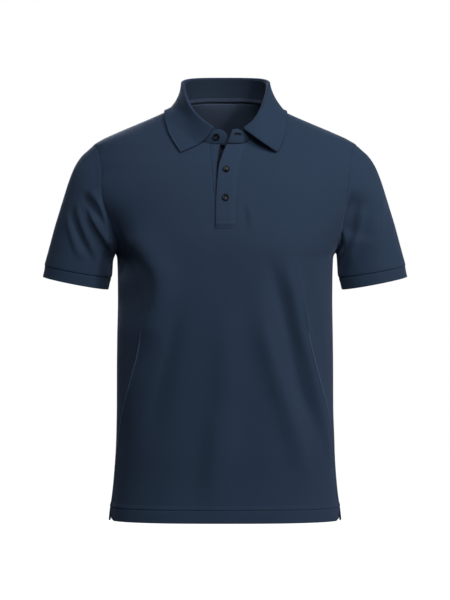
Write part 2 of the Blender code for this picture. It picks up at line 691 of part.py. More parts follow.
# ------------------------------------------------------------------ placket
def placket_grid(over):
    """A strip down the front, columns left to right, rows from the bottom up to just below the stand."""
    bottom, columns, drop = (STRIP_END, 7, 2.0) if over else (SLOT_END, 6, 0.5)
    s = np.linspace(0, 1, columns)[None, :]
    share = np.linspace(0, 1, STRIP_ROWS)[:, None]
    z = bottom + (STAND_SEAM - bottom) * share + 0 * s
    for _ in range(3):
        left = OVER_FREE(z) if over else SLOT_L(z) + SEAM_GAP
        right = OVER_SEWN(z) if over else UNDER_FREE(z)
        x = left + (right - left) * s
        top = NECK_FRONT_Z(np.abs(x)) - drop
        z = bottom + (top - bottom) * share
    points = on_body(angle_at(x, z), z)
    if over:
        points = points + body_gap(points)[1] * (STRIP_THICK + STRIP_OFF)
        points[..., 1] -= OVER_OFF(z) * (1 - s) ** 1.5
    return points


def place_on(points, normals, x, z):
    """The place at x and z on the front of a grid, and the way out there."""
    flat, flat_n = points.reshape(-1, 3), normals.reshape(-1, 3)
    away = (flat[:, 0] - x) ** 2 + (flat[:, 2] - z) ** 2
    near = int(np.argmin(np.where(flat[:, 1] < 0, away, np.inf)))
    n = flat_n[near]
    y = flat[near, 1] - ((x - flat[near, 0]) * n[0] + (z - flat[near, 2]) * n[2]) / n[1]
    return np.array([x, y, z]), n


def button(name, spot, normal):
    """A turned disc with a raised rim and a sunk middle, just off the cloth."""
    radius = BUTTON_WIDE / 2
    profile = (
        (0.0, 0.0),
        (radius * 0.72, 0.0),
        (radius * 0.98, 0.75),
        (radius, 1.3),
        (radius * 0.93, 2.2),
        (radius * 0.80, BUTTON_DEEP),
        (radius * 0.66, BUTTON_DEEP - 0.25),
        (radius * 0.56, BUTTON_DEEP - 0.95),
        (0.0, BUTTON_DEEP - 1.1),
    )
    side = unit(np.cross(normal, (0.0, 0.0, 1.0)))
    other = np.cross(side, normal)
    centre = spot + normal * BUTTON_OFF
    verts, rings = [], []
    for r, height in profile:
        steps = BUTTON_SIDES if r else 1
        rings.append(range(len(verts), len(verts) + steps))
        for a in np.arange(steps) * 2 * math.pi / steps:
            verts.append(centre + normal * height + (side * math.cos(a) + other * math.sin(a)) * r)
    faces = []
    for low, high in zip(rings, rings[1:]):
        for k in range(BUTTON_SIDES):
            m = (k + 1) % BUTTON_SIDES
            if len(low) == 1:
                faces.append([low[0], high[m], high[k]])
            elif len(high) == 1:
                faces.append([low[k], low[m], high[0]])
            else:
                faces.append([low[k], low[m], high[m], high[k]])
    make_object(name, verts, faces, "button")


# ------------------------------------------------------------------ build
def make_body():
    """The two panels, which share their seams with the sleeves, and the sleeves with their bands."""
    front_uz, back_uz = front_grid(), back_grid()
    front = on_body(front_uz[..., 0], front_uz[..., 1])
    back = on_body(back_uz[..., 0], back_uz[..., 1])
    slot_at, low = NECK_CELLS + SHOULDER_CELLS, len(LOW_ROWS) - 1
    mask = np.ones((front.shape[0] - 1, front.shape[1] - 1), bool)
    mask[low + SLOT_ROW :, slot_at : slot_at + SLOT_CELLS] = False

    sleeves = {}
    for side in (-1, 1):
        # the armhole goes up the front's edge and down the back's
        edge = -1 if side > 0 else 0
        seam = np.vstack([front[low:, edge], back[low:, -1 - edge][::-1][1:-1]])
        sleeves[side] = sleeve_rings(side, SLEEVE, SLEEVE_SHARES, seam)

    panels = [(front, mask, False, 1), (back, None, False, 1)]
    normals = weld(panels + [(sleeves[side], None, True, -side) for side in (-1, 1)])
    front_out = inset(round_corners(front_uz, front), ("left", "right", "top"))
    wall("front_panel", front_out, normals[0], BODY_THICK, "front_panel", mask=mask)
    wall("back_panel", inset(back, ("left", "right", "top")), normals[1], BODY_THICK, "back_panel")
    for side, name, n in ((-1, "left", normals[2]), (1, "right", normals[3])):
        wall(f"sleeve_{name}", inset(sleeves[side], ("bottom",)), n, SLEEVE_THICK, "sleeve", closed=True)
        band = sleeve_rings(side, CUFF, CUFF_SHARES)
        wall(f"cuff_{name}", band, grid_normals(band, True) * -side, CUFF_THICK, "cuff", closed=True)
    return front, back


def make_collar(front, back):
    seam, fold, edge = collar_stations(front, back)
    stand = stand_grid(seam, fold)
    stand_n = -grid_normals(stand)
    fall = fall_grid(fold, edge)
    tape = neck_tape(stand, stand_n)
    wall("collar_stand", stand, stand_n, STAND_THICK, "collar")
    wall("collar_fall", fall, grid_normals(fall), FALL_THICK, "collar")
    wall("neck_tape", tape, grid_normals(tape), TAPE_THICK, "tape")
    button("button_stand", *place_on(stand, stand_n, *STAND_BUTTON))


def make_placket():
    under, over = placket_grid(False), placket_grid(True)
    over_n = grid_normals(over)
    wall("placket_under", under, grid_normals(under), STRIP_THICK, "strip")
    wall("placket_over", over, over_n, STRIP_THICK, "strip")
    for name, x, z in BUTTONS:
        button(name, *place_on(over, over_n, x, z))


def main():
    for obj in list(bpy.data.objects):
        bpy.data.objects.remove(obj, do_unlink=True)
    front, back = make_body()
    make_collar(front, back)
    make_placket()


main()
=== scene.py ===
"""The looks of a short-sleeved polo shirt in worn form: fine knit, rib bands, placket, stitching, buttons.

Tables are in millimetres, the objects in metres. +X is the viewer's right, -Y the front, +Z up.
The body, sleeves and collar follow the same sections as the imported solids, sampled finely and dressed.
"""

import math

import bpy
import numpy as np
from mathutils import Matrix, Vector

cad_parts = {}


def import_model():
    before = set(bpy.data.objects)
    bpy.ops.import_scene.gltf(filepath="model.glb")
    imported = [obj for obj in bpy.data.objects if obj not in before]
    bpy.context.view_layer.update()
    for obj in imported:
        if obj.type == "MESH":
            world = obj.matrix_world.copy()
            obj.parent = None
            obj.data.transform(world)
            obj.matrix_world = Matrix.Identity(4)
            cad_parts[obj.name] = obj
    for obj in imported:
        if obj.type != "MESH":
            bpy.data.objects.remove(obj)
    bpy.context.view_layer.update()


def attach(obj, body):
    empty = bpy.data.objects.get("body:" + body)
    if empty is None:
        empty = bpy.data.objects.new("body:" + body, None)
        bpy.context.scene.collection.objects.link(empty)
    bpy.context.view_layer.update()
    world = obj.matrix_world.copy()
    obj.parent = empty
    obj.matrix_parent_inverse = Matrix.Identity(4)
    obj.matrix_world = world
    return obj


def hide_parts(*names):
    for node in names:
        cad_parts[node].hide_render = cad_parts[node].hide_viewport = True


MM = 0.001

# ------------------------------------------------------------------ sizes
# Thickness of the body's and sleeves' knit, the bands, the collar, the placket's strips and the tape
CLOTH, BAND, COLLAR, STRIP, TAPE = 1.1, 1.7, 2.0, 1.3, 0.9
SEAM_WIDE = 1.7
# How far the cloth rises, or dips if below nought, at the shoulder and neck seams and at the slot
TOP_LIFT, SLOT_LIFT = -0.22, -0.7
# How much deeper the armhole on the viewer's right dips, and from which height up
RIGHT_DIP, RIGHT_DIP_FROM = 0.6, -215.0
HEM_EXTRA = 0.9  # how much thicker the turned hem is
CORNER_RISE, CORNER_WIDE, CORNER_TALL = 4.0, 9.0, 30.0  # the rounded lower corners of the front
HEM = -707.8
HEM_STITCH = -686.4
VENT_TOP = -661.0
UNDERARM = -250.5
STAND_SEAM = -68.5
SLOT_T = 0.25  # share of the way from the underarm to the neck where the slot ends
SLOT_COLUMNS = 12  # columns of the front's grid that the slot takes
STRIP_END, UNDER_END = -212.0, -203.4  # lower ends of the over and the under strip
# Stitching of the over strip: distance from its free edge, from its sewn edge and up from its lower end
FREE_IN, SEWN_IN, BARS_UP = 2.4, 1.9, (2.2, 12.4)
BAR_STITCH = STRIP_END + BARS_UP[1]
PITCH = 2.9  # from one stitch to the next
STITCH = 2.15
THREAD = 0.42
SIDE_STITCH = (0.25, 1.7, 1.6, 1.0)  # lift, pitch, length and width of the pale stitches at the side seams, whose pale thread is a painted highlight along the seams
HOLE_STITCH = (1.2, 0.46, 0.5)  # length, width and height of a buttonhole's stitches
PANEL_EDGE = (0.0016, 0.004, 0.0075)  # shares of a panel's width with extra columns near its edges
FAR = 99.0  # a distance beyond the reach of any seam
SIDE_NAMES = {-1: "left", 1: "right"}

# Horizontal sections of the body, bottom to top.
# height, half width, depth in front, depth behind, shift back, squareness in front, squareness behind
TORSO = (
    (-707.0, 199.5, 111.0, 105.0, 2.0, 2.70, 2.60),
    (-690.0, 197.6, 109.5, 103.5, 2.0, 2.70, 2.60),
    (-660.0, 193.6, 107.5, 101.5, 2.0, 2.70, 2.60),
    (-621.0, 190.0, 106.0, 99.5, 1.0, 2.70, 2.60),
    (-583.0, 187.4, 106.0, 98.5, 0.0, 2.70, 2.60),
    (-520.0, 185.8, 108.0, 98.5, 0.0, 2.70, 2.55),
    (-450.0, 185.7, 112.0, 101.5, -1.0, 2.70, 2.50),
    (-390.0, 185.0, 117.0, 107.0, -1.0, 2.70, 2.45),
    (-330.0, 184.2, 121.5, 113.0, 0.0, 2.72, 2.46),
    (-290.0, 184.5, 123.5, 117.0, 0.0, 2.74, 2.48),
    (-270.0, 185.1, 124.2, 118.7, 0.0, 2.75, 2.48),
    (-259.0, 185.8, 124.5, 119.6, 0.0, 2.75, 2.48),
    (-250.5, 189.3, 124.7, 120.3, 0.0, 2.73, 2.46),
    (-240.0, 195.4, 124.6, 120.8, 0.0, 2.62, 2.36),
    (-226.0, 204.5, 124.0, 121.2, 0.2, 2.48, 2.22),
    (-205.0, 218.0, 121.8, 121.2, 0.6, 2.32, 2.04),
    (-184.0, 230.0, 118.6, 120.0, 1.0, 2.20, 1.92),
    (-134.0, 242.0, 107.0, 116.0, 2.0, 2.10, 1.88),
    (-99.0, 239.5, 93.0, 109.0, 3.0, 2.05, 1.92),
    (-80.0, 233.5, 81.5, 103.0, 4.0, 2.00, 1.96),
    (-66.5, 226.8, 73.0, 97.0, 4.0, 2.00, 2.00),
    (-57.0, 212.5, 67.0, 92.0, 4.0, 2.00, 2.00),
    (-43.0, 182.2, 57.0, 84.0, 4.0, 2.00, 2.00),
    (-34.4, 161.7, 50.0, 79.0, 3.5, 2.00, 2.00),
    (-13.8, 113.5, 34.0, 68.0, 1.5, 2.00, 2.00),
    (2.0, 81.0, 22.0, 61.0, 0.0, 2.00, 2.00),
    (7.0, 74.0, 18.0, 59.0, 0.0, 2.00, 2.00),
    (13.0, 68.0, 14.0, 57.0, 0.0, 2.00, 2.00),
)

# The side seam swings forward under the arm: height, distance from the middle
SIDE_SEAM = (
    (-707.0, 194.6),
    (-661.0, 189.6),
    (-621.0, 186.3),
    (-583.0, 182.6),
    (-517.0, 171.0),
    (-463.0, 156.5),
    (-388.0, 138.5),
    (-357.0, 134.5),
    (-326.0, 139.0),
    (-299.0, 152.0),
    (-275.0, 170.0),
    (-259.0, 183.4),
    (-250.5, 189.3),
)
# Below the top of the vent each piece has an edge of its own: height, front edge, back edge
VENT = ((-707.0, 192.6, 196.4), (-690.0, 193.4, 194.9), (-661.0, 189.6, 189.6))

# Seam of the sleeve, seen from the front: height, distance from the middle
ARMHOLE = (
    (-250.5, 189.3),
    (-245.0, 190.6),
    (-226.5, 194.3),
    (-185.5, 200.9),
    (-135.0, 207.8),
    (-100.0, 212.2),
    (-75.0, 218.2),
    (-69.0, 223.3),
    (-66.5, 226.8),
)

# Seams of the neck, seen from the front: distance from the middle, height
NECK_FRONT = (
    (0.0, -68.5),
    (24.0, -67.5),
    (43.0, -61.5),
    (58.0, -45.5),
    (69.5, -27.5),
    (77.0, -10.0),
    (81.0, 2.0),
)
NECK_BACK = ((0.0, 13.0), (28.0, 12.6), (52.0, 10.2), (70.0, 6.2), (81.0, 2.0))
# Ends of the shoulder seam
NECK_TIP, SHOULDER_TIP = (81.0, 2.0), (226.8, -66.5)

# Edges of the opening down the front, signed distances: height, slot left, slot right,
# under strip free edge, over strip free edge, over strip sewn edge, stand-off of the over strip's free edge,
# how far the under strip is set back, and how much of it shows before that
OPENING = (
    (-215.0, -15.2, 17.5, 14.5, -15.6, 19.6, 0.4, 0.3, 1.0),
    (-190.0, -15.6, 17.5, 14.5, -15.5, 19.6, 0.8, 0.6, 1.0),
    (-157.0, -18.4, 18.0, 14.0, -14.7, 20.0, 1.4, 1.4, 1.6),
    (-131.0, -20.4, 19.5, 12.5, -12.8, 21.6, 2.6, 3.0, 2.4),
    (-107.0, -22.2, 22.5, 10.0, -10.3, 24.4, 4.4, 7.0, 4.4),
    (-88.0, -23.6, 27.0, 6.5, -4.5, 29.2, 6.0, 12.0, 8.2),
    (-68.5, -25.0, 34.0, 2.5, 3.3, 36.5, 7.6, 16.0, 13.0),
)

# Outlines of the sleeve, seen from the front: share of the way down,
# outer x, outer height, inner x, inner height, depth in front, depth behind, shift back
SLEEVE = (
    (0.00, 226.8, -66.5, 189.3, -250.5, 52.0, 60.0, 0.0),
    (0.04, 235.0, -74.0, 191.4, -253.4, 52.5, 60.0, 0.0),
    (0.11, 246.5, -84.8, 191.9, -257.5, 53.0, 59.0, -0.5),
    (0.22, 258.6, -103.5, 192.2, -262.5, 53.5, 57.0, -1.5),
    (0.34, 268.2, -127.5, 192.4, -267.0, 53.0, 54.5, -2.5),
    (0.46, 275.8, -151.5, 192.6, -271.5, 52.0, 52.5, -3.5),
    (0.59, 284.0, -178.5, 192.8, -275.5, 51.0, 51.0, -4.5),
    (0.73, 292.4, -206.5, 193.0, -280.0, 50.0, 49.5, -5.5),
    (0.87, 301.6, -241.0, 193.4, -286.5, 49.0, 48.5, -6.5),
    (1.00, 310.4, -273.0, 194.6, -293.6, 48.4, 47.9, -7.0),
)
CUFF = (
    (0.00, 310.0, -273.6, 194.8, -294.4, 47.9, 47.4, -7.0),
    (0.07, 309.7, -275.0, 195.6, -296.0, 47.3, 46.8, -7.1),
    (1.00, 312.8, -292.0, 200.2, -313.8, 46.4, 45.9, -8.0),
)
SLEEVE_TILT = 3.0

# The collar, one row a station from the back middle to the front end of the fall.
# Stand seam x and height (they lie on the body), fold x, y, height, outer edge x, y, height
COLLAR_LEFT = (
    (0.0, 13.0, 0.0, 60.0, 55.6, 0.0, 76.0, 8.0),
    (28.0, 12.6, 24.0, 57.5, 55.3, 30.0, 73.5, 7.0),
    (52.0, 10.2, 45.0, 48.0, 54.0, 57.0, 63.0, 4.0),
    (70.0, 6.2, 61.0, 31.0, 51.0, 81.0, 43.0, -1.0),
    (81.0, 2.0, 70.0, 9.0, 45.5, 98.0, 16.0, -5.5),
    (79.2, -4.0, 69.5, -8.0, 36.0, 103.5, -7.0, -10.5),
    (75.5, -14.5, 66.0, -25.0, 22.0, 103.5, -25.5, -19.0),
    (69.5, -27.5, 60.5, -39.0, 7.0, 100.5, -40.0, -32.0),
    (60.0, -43.0, 51.0, -50.5, -9.5, 95.5, -54.6, -47.5),
    (46.0, -59.5, 34.0, -63.5, -27.5, 86.5, -67.3, -64.5),
    (25.0, -67.4, 18.0, -70.5, -38.5, 75.2, -79.0, -81.2),
)
COLLAR_RIGHT = (
    (0.0, 13.0, 0.0, 60.0, 55.6, 0.0, 76.0, 8.0),
    (28.0, 12.6, 24.0, 57.5, 55.3, 30.0, 73.5, 7.0),
    (52.0, 10.2, 45.5, 48.0, 54.0, 57.0, 63.0, 4.0),
    (70.0, 6.2, 62.0, 31.0, 51.3, 82.0, 43.0, -1.0),
    (81.0, 2.0, 71.5, 9.0, 46.0, 99.5, 16.0, -5.5),
    (79.2, -4.0, 71.8, -8.0, 37.0, 106.0, -7.0, -10.5),
    (75.5, -14.5, 69.0, -25.5, 22.0, 107.0, -26.0, -19.0),
    (69.5, -27.5, 64.0, -39.5, 7.0, 105.5, -40.0, -32.5),
    (61.0, -42.0, 57.0, -50.5, -9.5, 102.5, -54.8, -48.5),
    (50.0, -56.5, 45.5, -61.5, -27.5, 97.0, -67.2, -65.5),
    (36.0, -64.6, 29.6, -68.5, -40.5, 88.6, -78.8, -81.6),
)
# Ends of the stand past the fall: seam x, y, height, top x, y, height
STAND_END_LEFT = (
    (13.0, -70.6, -67.8, 9.5, -71.6, -42.6),
    (1.5, -71.2, -67.8, 0.6, -72.6, -46.4),
    (-1.8, -71.6, -63.6, -3.6, -73.0, -52.6),
)
STAND_END_RIGHT = (
    (24.0, -73.4, -66.6, 21.8, -71.4, -41.8),
    (13.0, -76.0, -66.9, 16.0, -74.2, -42.8),
    (4.2, -77.6, -66.4, 12.4, -75.8, -43.8),
)
BACK_ROWS = 5  # rows of the collar whose seam lies on the back
STATION_STEP = 0.125  # from one place along the collar's lines to the next, where a row of its tables is 1
FOLD_RISE = 3.4  # from the stand's top line up to the fold
FOLD_IN = 0.4  # how far inside the fold the stand's top line lies
FOLD_ROUND = 3.0
STAND_BOW = 1.4  # how far the stand bows out between its edges
FALL_SAG = 5.0  # how far the fall sags in, but for its front ends
LEAF_BOW = (6.0, 1.0)  # how far the front edge of the left and right leaf bows out
LEAF_OFF = 7.0  # how far the right leaf stands off in front
LEAF_HOLLOW = 6.0  # how far the left leaf is hollowed
TAPE_TALL = 5.6  # how far the neck tape reaches up the stand
TAPE_SHARE = 4 / 26  # share of the stand's length that the tape covers to each side
# The seam down the side stands out low down and sinks under the arm: height, rise
SIDE_RISE = (
    (-708.0, 0.7),
    (-420.0, 0.7),
    (-345.0, 0.0),
    (-262.0, 0.0),
    (-246.0, -0.9),
    (-190.0, -0.7),
    (-130.0, -0.22),
    (20.0, -0.22),
)
SIDE_STITCH_TOP = -386.0

# Creases, one a row: height (+ out, - in), width on the viewer's left and on the right of the line,
# how far in from its ends it is full, then x, z points from the top down
FRONT_CREASES = (
    # the viewer's left: the cloth turns back along a line from the armpit down the side seam
    (9.4, 16, 27, 0.20, (
        (-183, -208), (-166, -226), (-148, -242), (-129, -260), (-114, -283), (-108, -310),
        (-112, -337), (-123, -366), (-138, -398), (-153, -442),
    )),
    (2.6, 12, 26, 0.35, ((-142, -385), (-154, -459), (-168, -513), (-181, -577))),
    (-9.5, 24, 20, 0.30, (
        (-197, -214), (-184, -240), (-172, -264), (-164, -290), (-161, -318), (-165, -352),
        (-174, -395),
    )),
    (-9.0, 10, 34, 0.30, ((-204, -160), (-198, -196), (-190, -232), (-182, -262), (-178, -305))),
    (-2.6, 8, 9, 0.30, ((-197, -180), (-190, -205), (-182, -228), (-170, -250))),
    (5.0, 14, 40, 0.30, ((-206, -110), (-202, -150), (-197, -190), (-190, -228))),
    (-3.2, 12, 17, 0.30, ((-70, -325), (-85, -374), (-95, -420), (-108, -474), (-121, -530), (-135, -590))),
    # the broad ridge down the middle
    (6.0, 24, 28, 0.40, ((6, -307), (2, -382), (2, -466), (-5, -550), (-13, -634), (-18, -734))),
    (2.5, 20, 30, 0.40, ((-8, -500), (-15, -567), (-22, -634), (-25, -734))),
    # the viewer's right: ridge, valley and the line that runs down into the side seam
    (7.0, 18, 15, 0.30, (
        (57, -290), (64, -366), (74, -419), (91, -474), (111, -533), (127, -592), (146, -667),
    )),
    (-6.5, 14, 11, 0.28, ((70, -250), (88, -305), (110, -399), (125, -466), (142, -520), (162, -583))),
    (5.5, 9, 16, 0.22, (
        (102, -244), (108, -290), (117, -332), (124, -366), (132, -400), (141, -433), (158, -500),
        (176, -577), (188, -640),
    )),
    (1.3, 3, 2.4, 0.30, ((116, -252), (121, -278), (131, -332), (139, -374), (149, -424))),
    # beside and below the placket
    (-0.9, 3.2, 4.5, 0.40, ((-21, -193), (-21, -210), (-21, -230))),
    (-1.4, 4.0, 5.0, 0.35, ((27, -170), (33, -190), (34, -216))),
    (1.0, 5.0, 5.0, 0.35, ((38, -172), (44, -194), (45, -218))),
)
BACK_CREASES = (
    (6.0, 20, 18, 0.30, ((60, -280), (78, -380), (96, -480), (122, -610))),
    (-5.5, 16, 18, 0.30, ((28, -310), (40, -420), (52, -520), (72, -620))),
    (5.5, 18, 22, 0.30, ((-52, -300), (-70, -400), (-84, -490), (-112, -600))),
    (-5.0, 18, 16, 0.30, ((-20, -330), (-26, -430), (-40, -520), (-54, -620))),
    (5.0, 13, 10, 0.30, ((136, -262), (142, -360), (156, -460), (170, -560))),
    (5.5, 10, 14, 0.30, ((-132, -250), (-138, -350), (-154, -450), (-168, -560))),
    (-4.0, 12, 14, 0.30, ((112, -250), (116, -330), (128, -420))),
    (-3.5, 12, 10, 0.30, ((-110, -240), (-112, -310), (-122, -390))),
    (4.0, 13, 17, 0.30, ((150, -130), (134, -190), (112, -262))),
    (-3.0, 12, 12, 0.30, ((164, -170), (146, -214), (132, -250))),
    (4.5, 15, 11, 0.30, ((-150, -140), (-136, -192), (-108, -250))),
    (-2.6, 10, 12, 0.30, ((-128, -120), (-110, -170), (-90, -215))),
    (2.4, 26, 26, 0.40, ((0, -60), (4, -130), (-4, -200))),
)
# By side of the picture, then 1 in front and -1 behind
SLEEVE_CREASES = {
    (-1, 1): (
        (7.5, 22, 5, 0.35, ((-209, -160), (-204, -196), (-199, -226), (-196, -262))),
        (4.6, 3.6, 10, 0.3, ((-235, -143), (-224, -156), (-212, -171), (-200, -188), (-193, -206))),
        (4.4, 3.6, 8, 0.3, ((-233, -170), (-226, -190), (-215, -212), (-203, -232), (-193, -248))),
        (4.6, 3.6, 8, 0.25, (
            (-252, -163), (-249, -185), (-243, -206), (-234, -228), (-226, -248), (-213, -281),
        )),
        (3.4, 3.8, 9, 0.3, ((-271, -175), (-266, -203), (-260, -224), (-251, -249), (-238, -270))),
        (-3.4, 7, 5, 0.3, ((-246, -148), (-236, -160), (-224, -176), (-211, -194), (-202, -214))),
        (-2.8, 6, 5, 0.3, ((-261, -170), (-258, -190), (-252, -212), (-243, -236), (-232, -262))),
    ),
    (1, 1): (
        (7.0, 27, 9, 0.45, ((265, -120), (264, -160), (262, -200), (259, -240), (254, -290))),
        (-12.5, 5, 40, 0.3, ((217, -140), (210, -168), (203, -194), (198, -212), (195, -232))),
        (5.2, 6, 9, 0.3, ((238, -165), (231, -188), (224, -222), (213, -255), (204, -284))),
        (2.2, 6, 6, 0.3, ((222, -160), (214, -182), (206, -208), (200, -232))),
        (-10.0, 5, 4, 0.3, ((197, -216), (197, -232), (196, -256))),
    ),
    (-1, -1): (
        (-4.4, 7, 9, 0.3, ((-238, -145), (-226, -180), (-210, -225), (-200, -258))),
        (4.0, 8, 6, 0.3, ((-250, -150), (-240, -190), (-224, -238), (-212, -272))),
        (-3.6, 7, 7, 0.3, ((-266, -160), (-256, -205), (-238, -262))),
        (1.6, 8, 8, 0.3, ((-278, -180), (-268, -225), (-252, -272))),
    ),
    (1, -1): (
        (-4.6, 9, 7, 0.3, ((240, -142), (226, -182), (211, -222), (201, -256))),
        (4.0, 7, 9, 0.3, ((255, -150), (243, -196), (226, -246))),
        (-3.4, 9, 9, 0.3, ((272, -168), (260, -220), (246, -272))),
    ),
}

# Near the underarm the inner columns of a panel keep to these angles: height, front, back
STEADY = (
    (-357.0, 41.5, 138.0),
    (-326.0, 43.0, 128.0),
    (-299.0, 47.5, 113.0),
    (-275.0, 52.5, 96.0),
    (-250.5, 56.5, 79.0),
    (-226.0, 58.0, 65.0),
    (-205.0, 58.0, 60.0),
    (-184.0, 57.6, 57.5),
)
NECK_SHARE = {False: 6 / 13, True: 8 / 15}  # share of a panel's columns that end at the neck

BUTTONS = (("button_upper", 2.2, -111.8), ("button_lower", 1.2, -160.0))
STAND_BUTTON = (-14.2, -55.6)
BUTTON_OFF = 0.6  # from the cloth to a button's back
STRIP_HOLE, STAND_HOLE = (13.5, 2.2), (12.5, 3.2)  # length and width of a buttonhole
STAND_HOLE_AT = (21.6, -51.0)
BUTTON_WIDE = 11.5
# A turned button's rim, bead and dish, from its back round to its face: share of its radius, height
BUTTON_PROFILE = (
    (0.72, 0.0),
    (0.93, 0.3),
    (1.0, 0.95),
    (0.985, 1.5),
    (0.95, 2.1),
    (0.87, 2.5),
    (0.79, 2.6),
    (0.71, 2.42),
    (0.66, 2.0),
    (0.60, 1.72),
    (0.50, 1.6),
    (0.25, 1.5),
)
# Radius and height of its smallest rings, at the back and in front
BUTTON_MIDDLE = ((0.05, 0.0), (0.05, 1.48))
BUTTON_STEPS = 48
HOLE, HOLES_APART = 0.62, 1.35  # radius of a button's holes, and their distance from its middle lines


# ------------------------------------------------------------------ curves
def curve(points, column=1):
    """A smooth line through one column of a table over its first, with no overshoot."""
    table = sorted(points)
    xs = np.array([row[0] for row in table], float)
    ys = np.array([row[column] for row in table], float)
    step = np.diff(xs)
    slope = np.diff(ys) / step
    lean = np.zeros(len(xs))
    for i in range(1, len(xs) - 1):
        if slope[i - 1] * slope[i] > 0:
            w1 = 2 * step[i] + step[i - 1]
            w2 = step[i] + 2 * step[i - 1]
            lean[i] = (w1 + w2) / (w1 / slope[i - 1] + w2 / slope[i])
    lean[0], lean[-1] = slope[0], slope[-1]

    def value(x):
        x = np.clip(np.asarray(x, float), xs[0], xs[-1])
        i = np.clip(np.searchsorted(xs, x) - 1, 0, len(xs) - 2)
        t = (x - xs[i]) / step[i]
        return (
            ys[i] * (1 + 2 * t) * (1 - t) ** 2
            + ys[i + 1] * t * t * (3 - 2 * t)
            + step[i] * (lean[i] * t * (1 - t) ** 2 + lean[i + 1] * t * t * (t - 1))
        )

    return value


def spline(points, at):
    """Points on the smooth line through rows of numbers; the row number is the place along it."""
    p = np.asarray(points, float)
    p = np.vstack([2 * p[0] - p[1], p, 2 * p[-1] - p[-2]])
    at = np.clip(np.asarray(at, float), 0, len(p) - 3)
    i = np.minimum(at.astype(int), len(p) - 4)
    t = (at - i)[:, None]
    a, b, c, d = p[i], p[i + 1], p[i + 2], p[i + 3]
    return 0.5 * (2 * b + (c - a) * t + (2 * a - 5 * b + 4 * c - d) * t**2 + (3 * b - a - 3 * c + d) * t**3)


def ease(t, start, end):
    return start * (t - 2 * t**2 + t**3) + 3 * t**2 - 2 * t**3 + end * (t**3 - t**2)


def smooth(x):
    x = np.clip(x, 0.0, 1.0)
    return x * x * (3 - 2 * x)


def unit(v):
    return v / np.maximum(np.linalg.norm(v, axis=-1, keepdims=True), 1e-12)


HALF_WIDTH, DEPTH_FRONT, DEPTH_BACK, SHIFT, SQUARE, SQUARE_BACK = (curve(TORSO, k) for k in range(1, 7))
VENT_FRONT, VENT_BACK = curve(VENT, 1), curve(VENT, 2)
SEAM_X = curve(SIDE_SEAM)
SIDE_LIFT = curve(SIDE_RISE)
ARM_X = curve(ARMHOLE)
NECK_FRONT_Z = curve(NECK_FRONT)
NECK_BACK_Z = curve(NECK_BACK)
SLOT_L, SLOT_R, UNDER_FREE, OVER_FREE = (curve(OPENING, k) for k in range(1, 5))
OVER_SEWN, OVER_OFF, UNDER_IN, UNDER_SEEN = (curve(OPENING, k) for k in range(5, 9))
STEADY_FRONT = curve([(z, math.radians(f)) for z, f, _ in STEADY])
STEADY_BACK = curve([(z, math.radians(b)) for z, _, b in STEADY])


# ------------------------------------------------------------------ the body's form
def angle_at(x, z, back=False):
    """The angle from the middle of the front, or of the back, at height z where the section is x from it."""
    n = SQUARE_BACK(z) if back else SQUARE(z)
    q = np.clip(np.abs(x) / HALF_WIDTH(z), 0.0, 1.0) ** n
    return np.sign(x) * np.arctan2(q ** (1 / n), np.maximum(1 - q, 0.0) ** (1 / n))


def crease_height(creases, x, z):
    """Sum of the soft troughs and ridges at the places x, z of a view from the front."""
    total = np.zeros(np.shape(x))
    for height, left, right, ends, points in creases:
        count = 6 * (len(points) - 1)
        line = spline(points, np.linspace(0, len(points) - 1, count + 1))
        nearest = np.full(np.shape(x), np.inf)
        side, place = np.zeros(np.shape(x)), np.zeros(np.shape(x))
        for k in range(count):
            ex, ez = line[k + 1] - line[k]
            t = np.clip(((x - line[k, 0]) * ex + (z - line[k, 1]) * ez) / (ex * ex + ez * ez), 0, 1)
            dx, dz = x - line[k, 0] - t * ex, z - line[k, 1] - t * ez
            d2 = dx * dx + dz * dz
            closer = d2 < nearest
            nearest = np.where(closer, d2, nearest)
            side = np.where(closer, dx * ez - dz * ex, side)
            place = np.where(closer, (k + t) / count, place)
        width = np.where(side > 0, left, right)
        total += height * smooth(place / ends) * smooth((1 - place) / ends) * np.exp(-nearest / width**2)
    return total


def on_body(u, z):
    """The plain outside of the body at angle u (0 front, pi back, + to the viewer's right) and height z."""
    u, z = np.broadcast_arrays(np.asarray(u, float), np.asarray(z, float))
    wide, shift = HALF_WIDTH(z), SHIFT(z)
    n = np.where(np.cos(u) >= 0, SQUARE(z), SQUARE_BACK(z))
    deep = np.where(np.cos(u) >= 0, DEPTH_FRONT(z), DEPTH_BACK(z))
    su, cu = np.sin(u), np.cos(u)
    k = (np.abs(su) ** n + np.abs(cu) ** n) ** (-1 / n)
    return np.stack([wide * k * su, shift - deep * k * cu, z], -1)


def level_normal(u, z):
    deep = np.where(np.cos(u) >= 0, DEPTH_FRONT(z), DEPTH_BACK(z))
    n = np.stack([deep * np.sin(u), -HALF_WIDTH(z) * np.cos(u), np.zeros(np.shape(u))], -1)
    return unit(n)


def creased_body(u, z):
    """The outside of the body with its folds."""
    p = on_body(u, z)
    x = p[..., 0]
    h = np.where(np.cos(u) >= 0, crease_height(FRONT_CREASES, x, z), crease_height(BACK_CREASES, x, z))
    h = h * smooth(np.abs(np.cos(u)) / 0.35)
    return p + level_normal(u, z) * h[..., None]


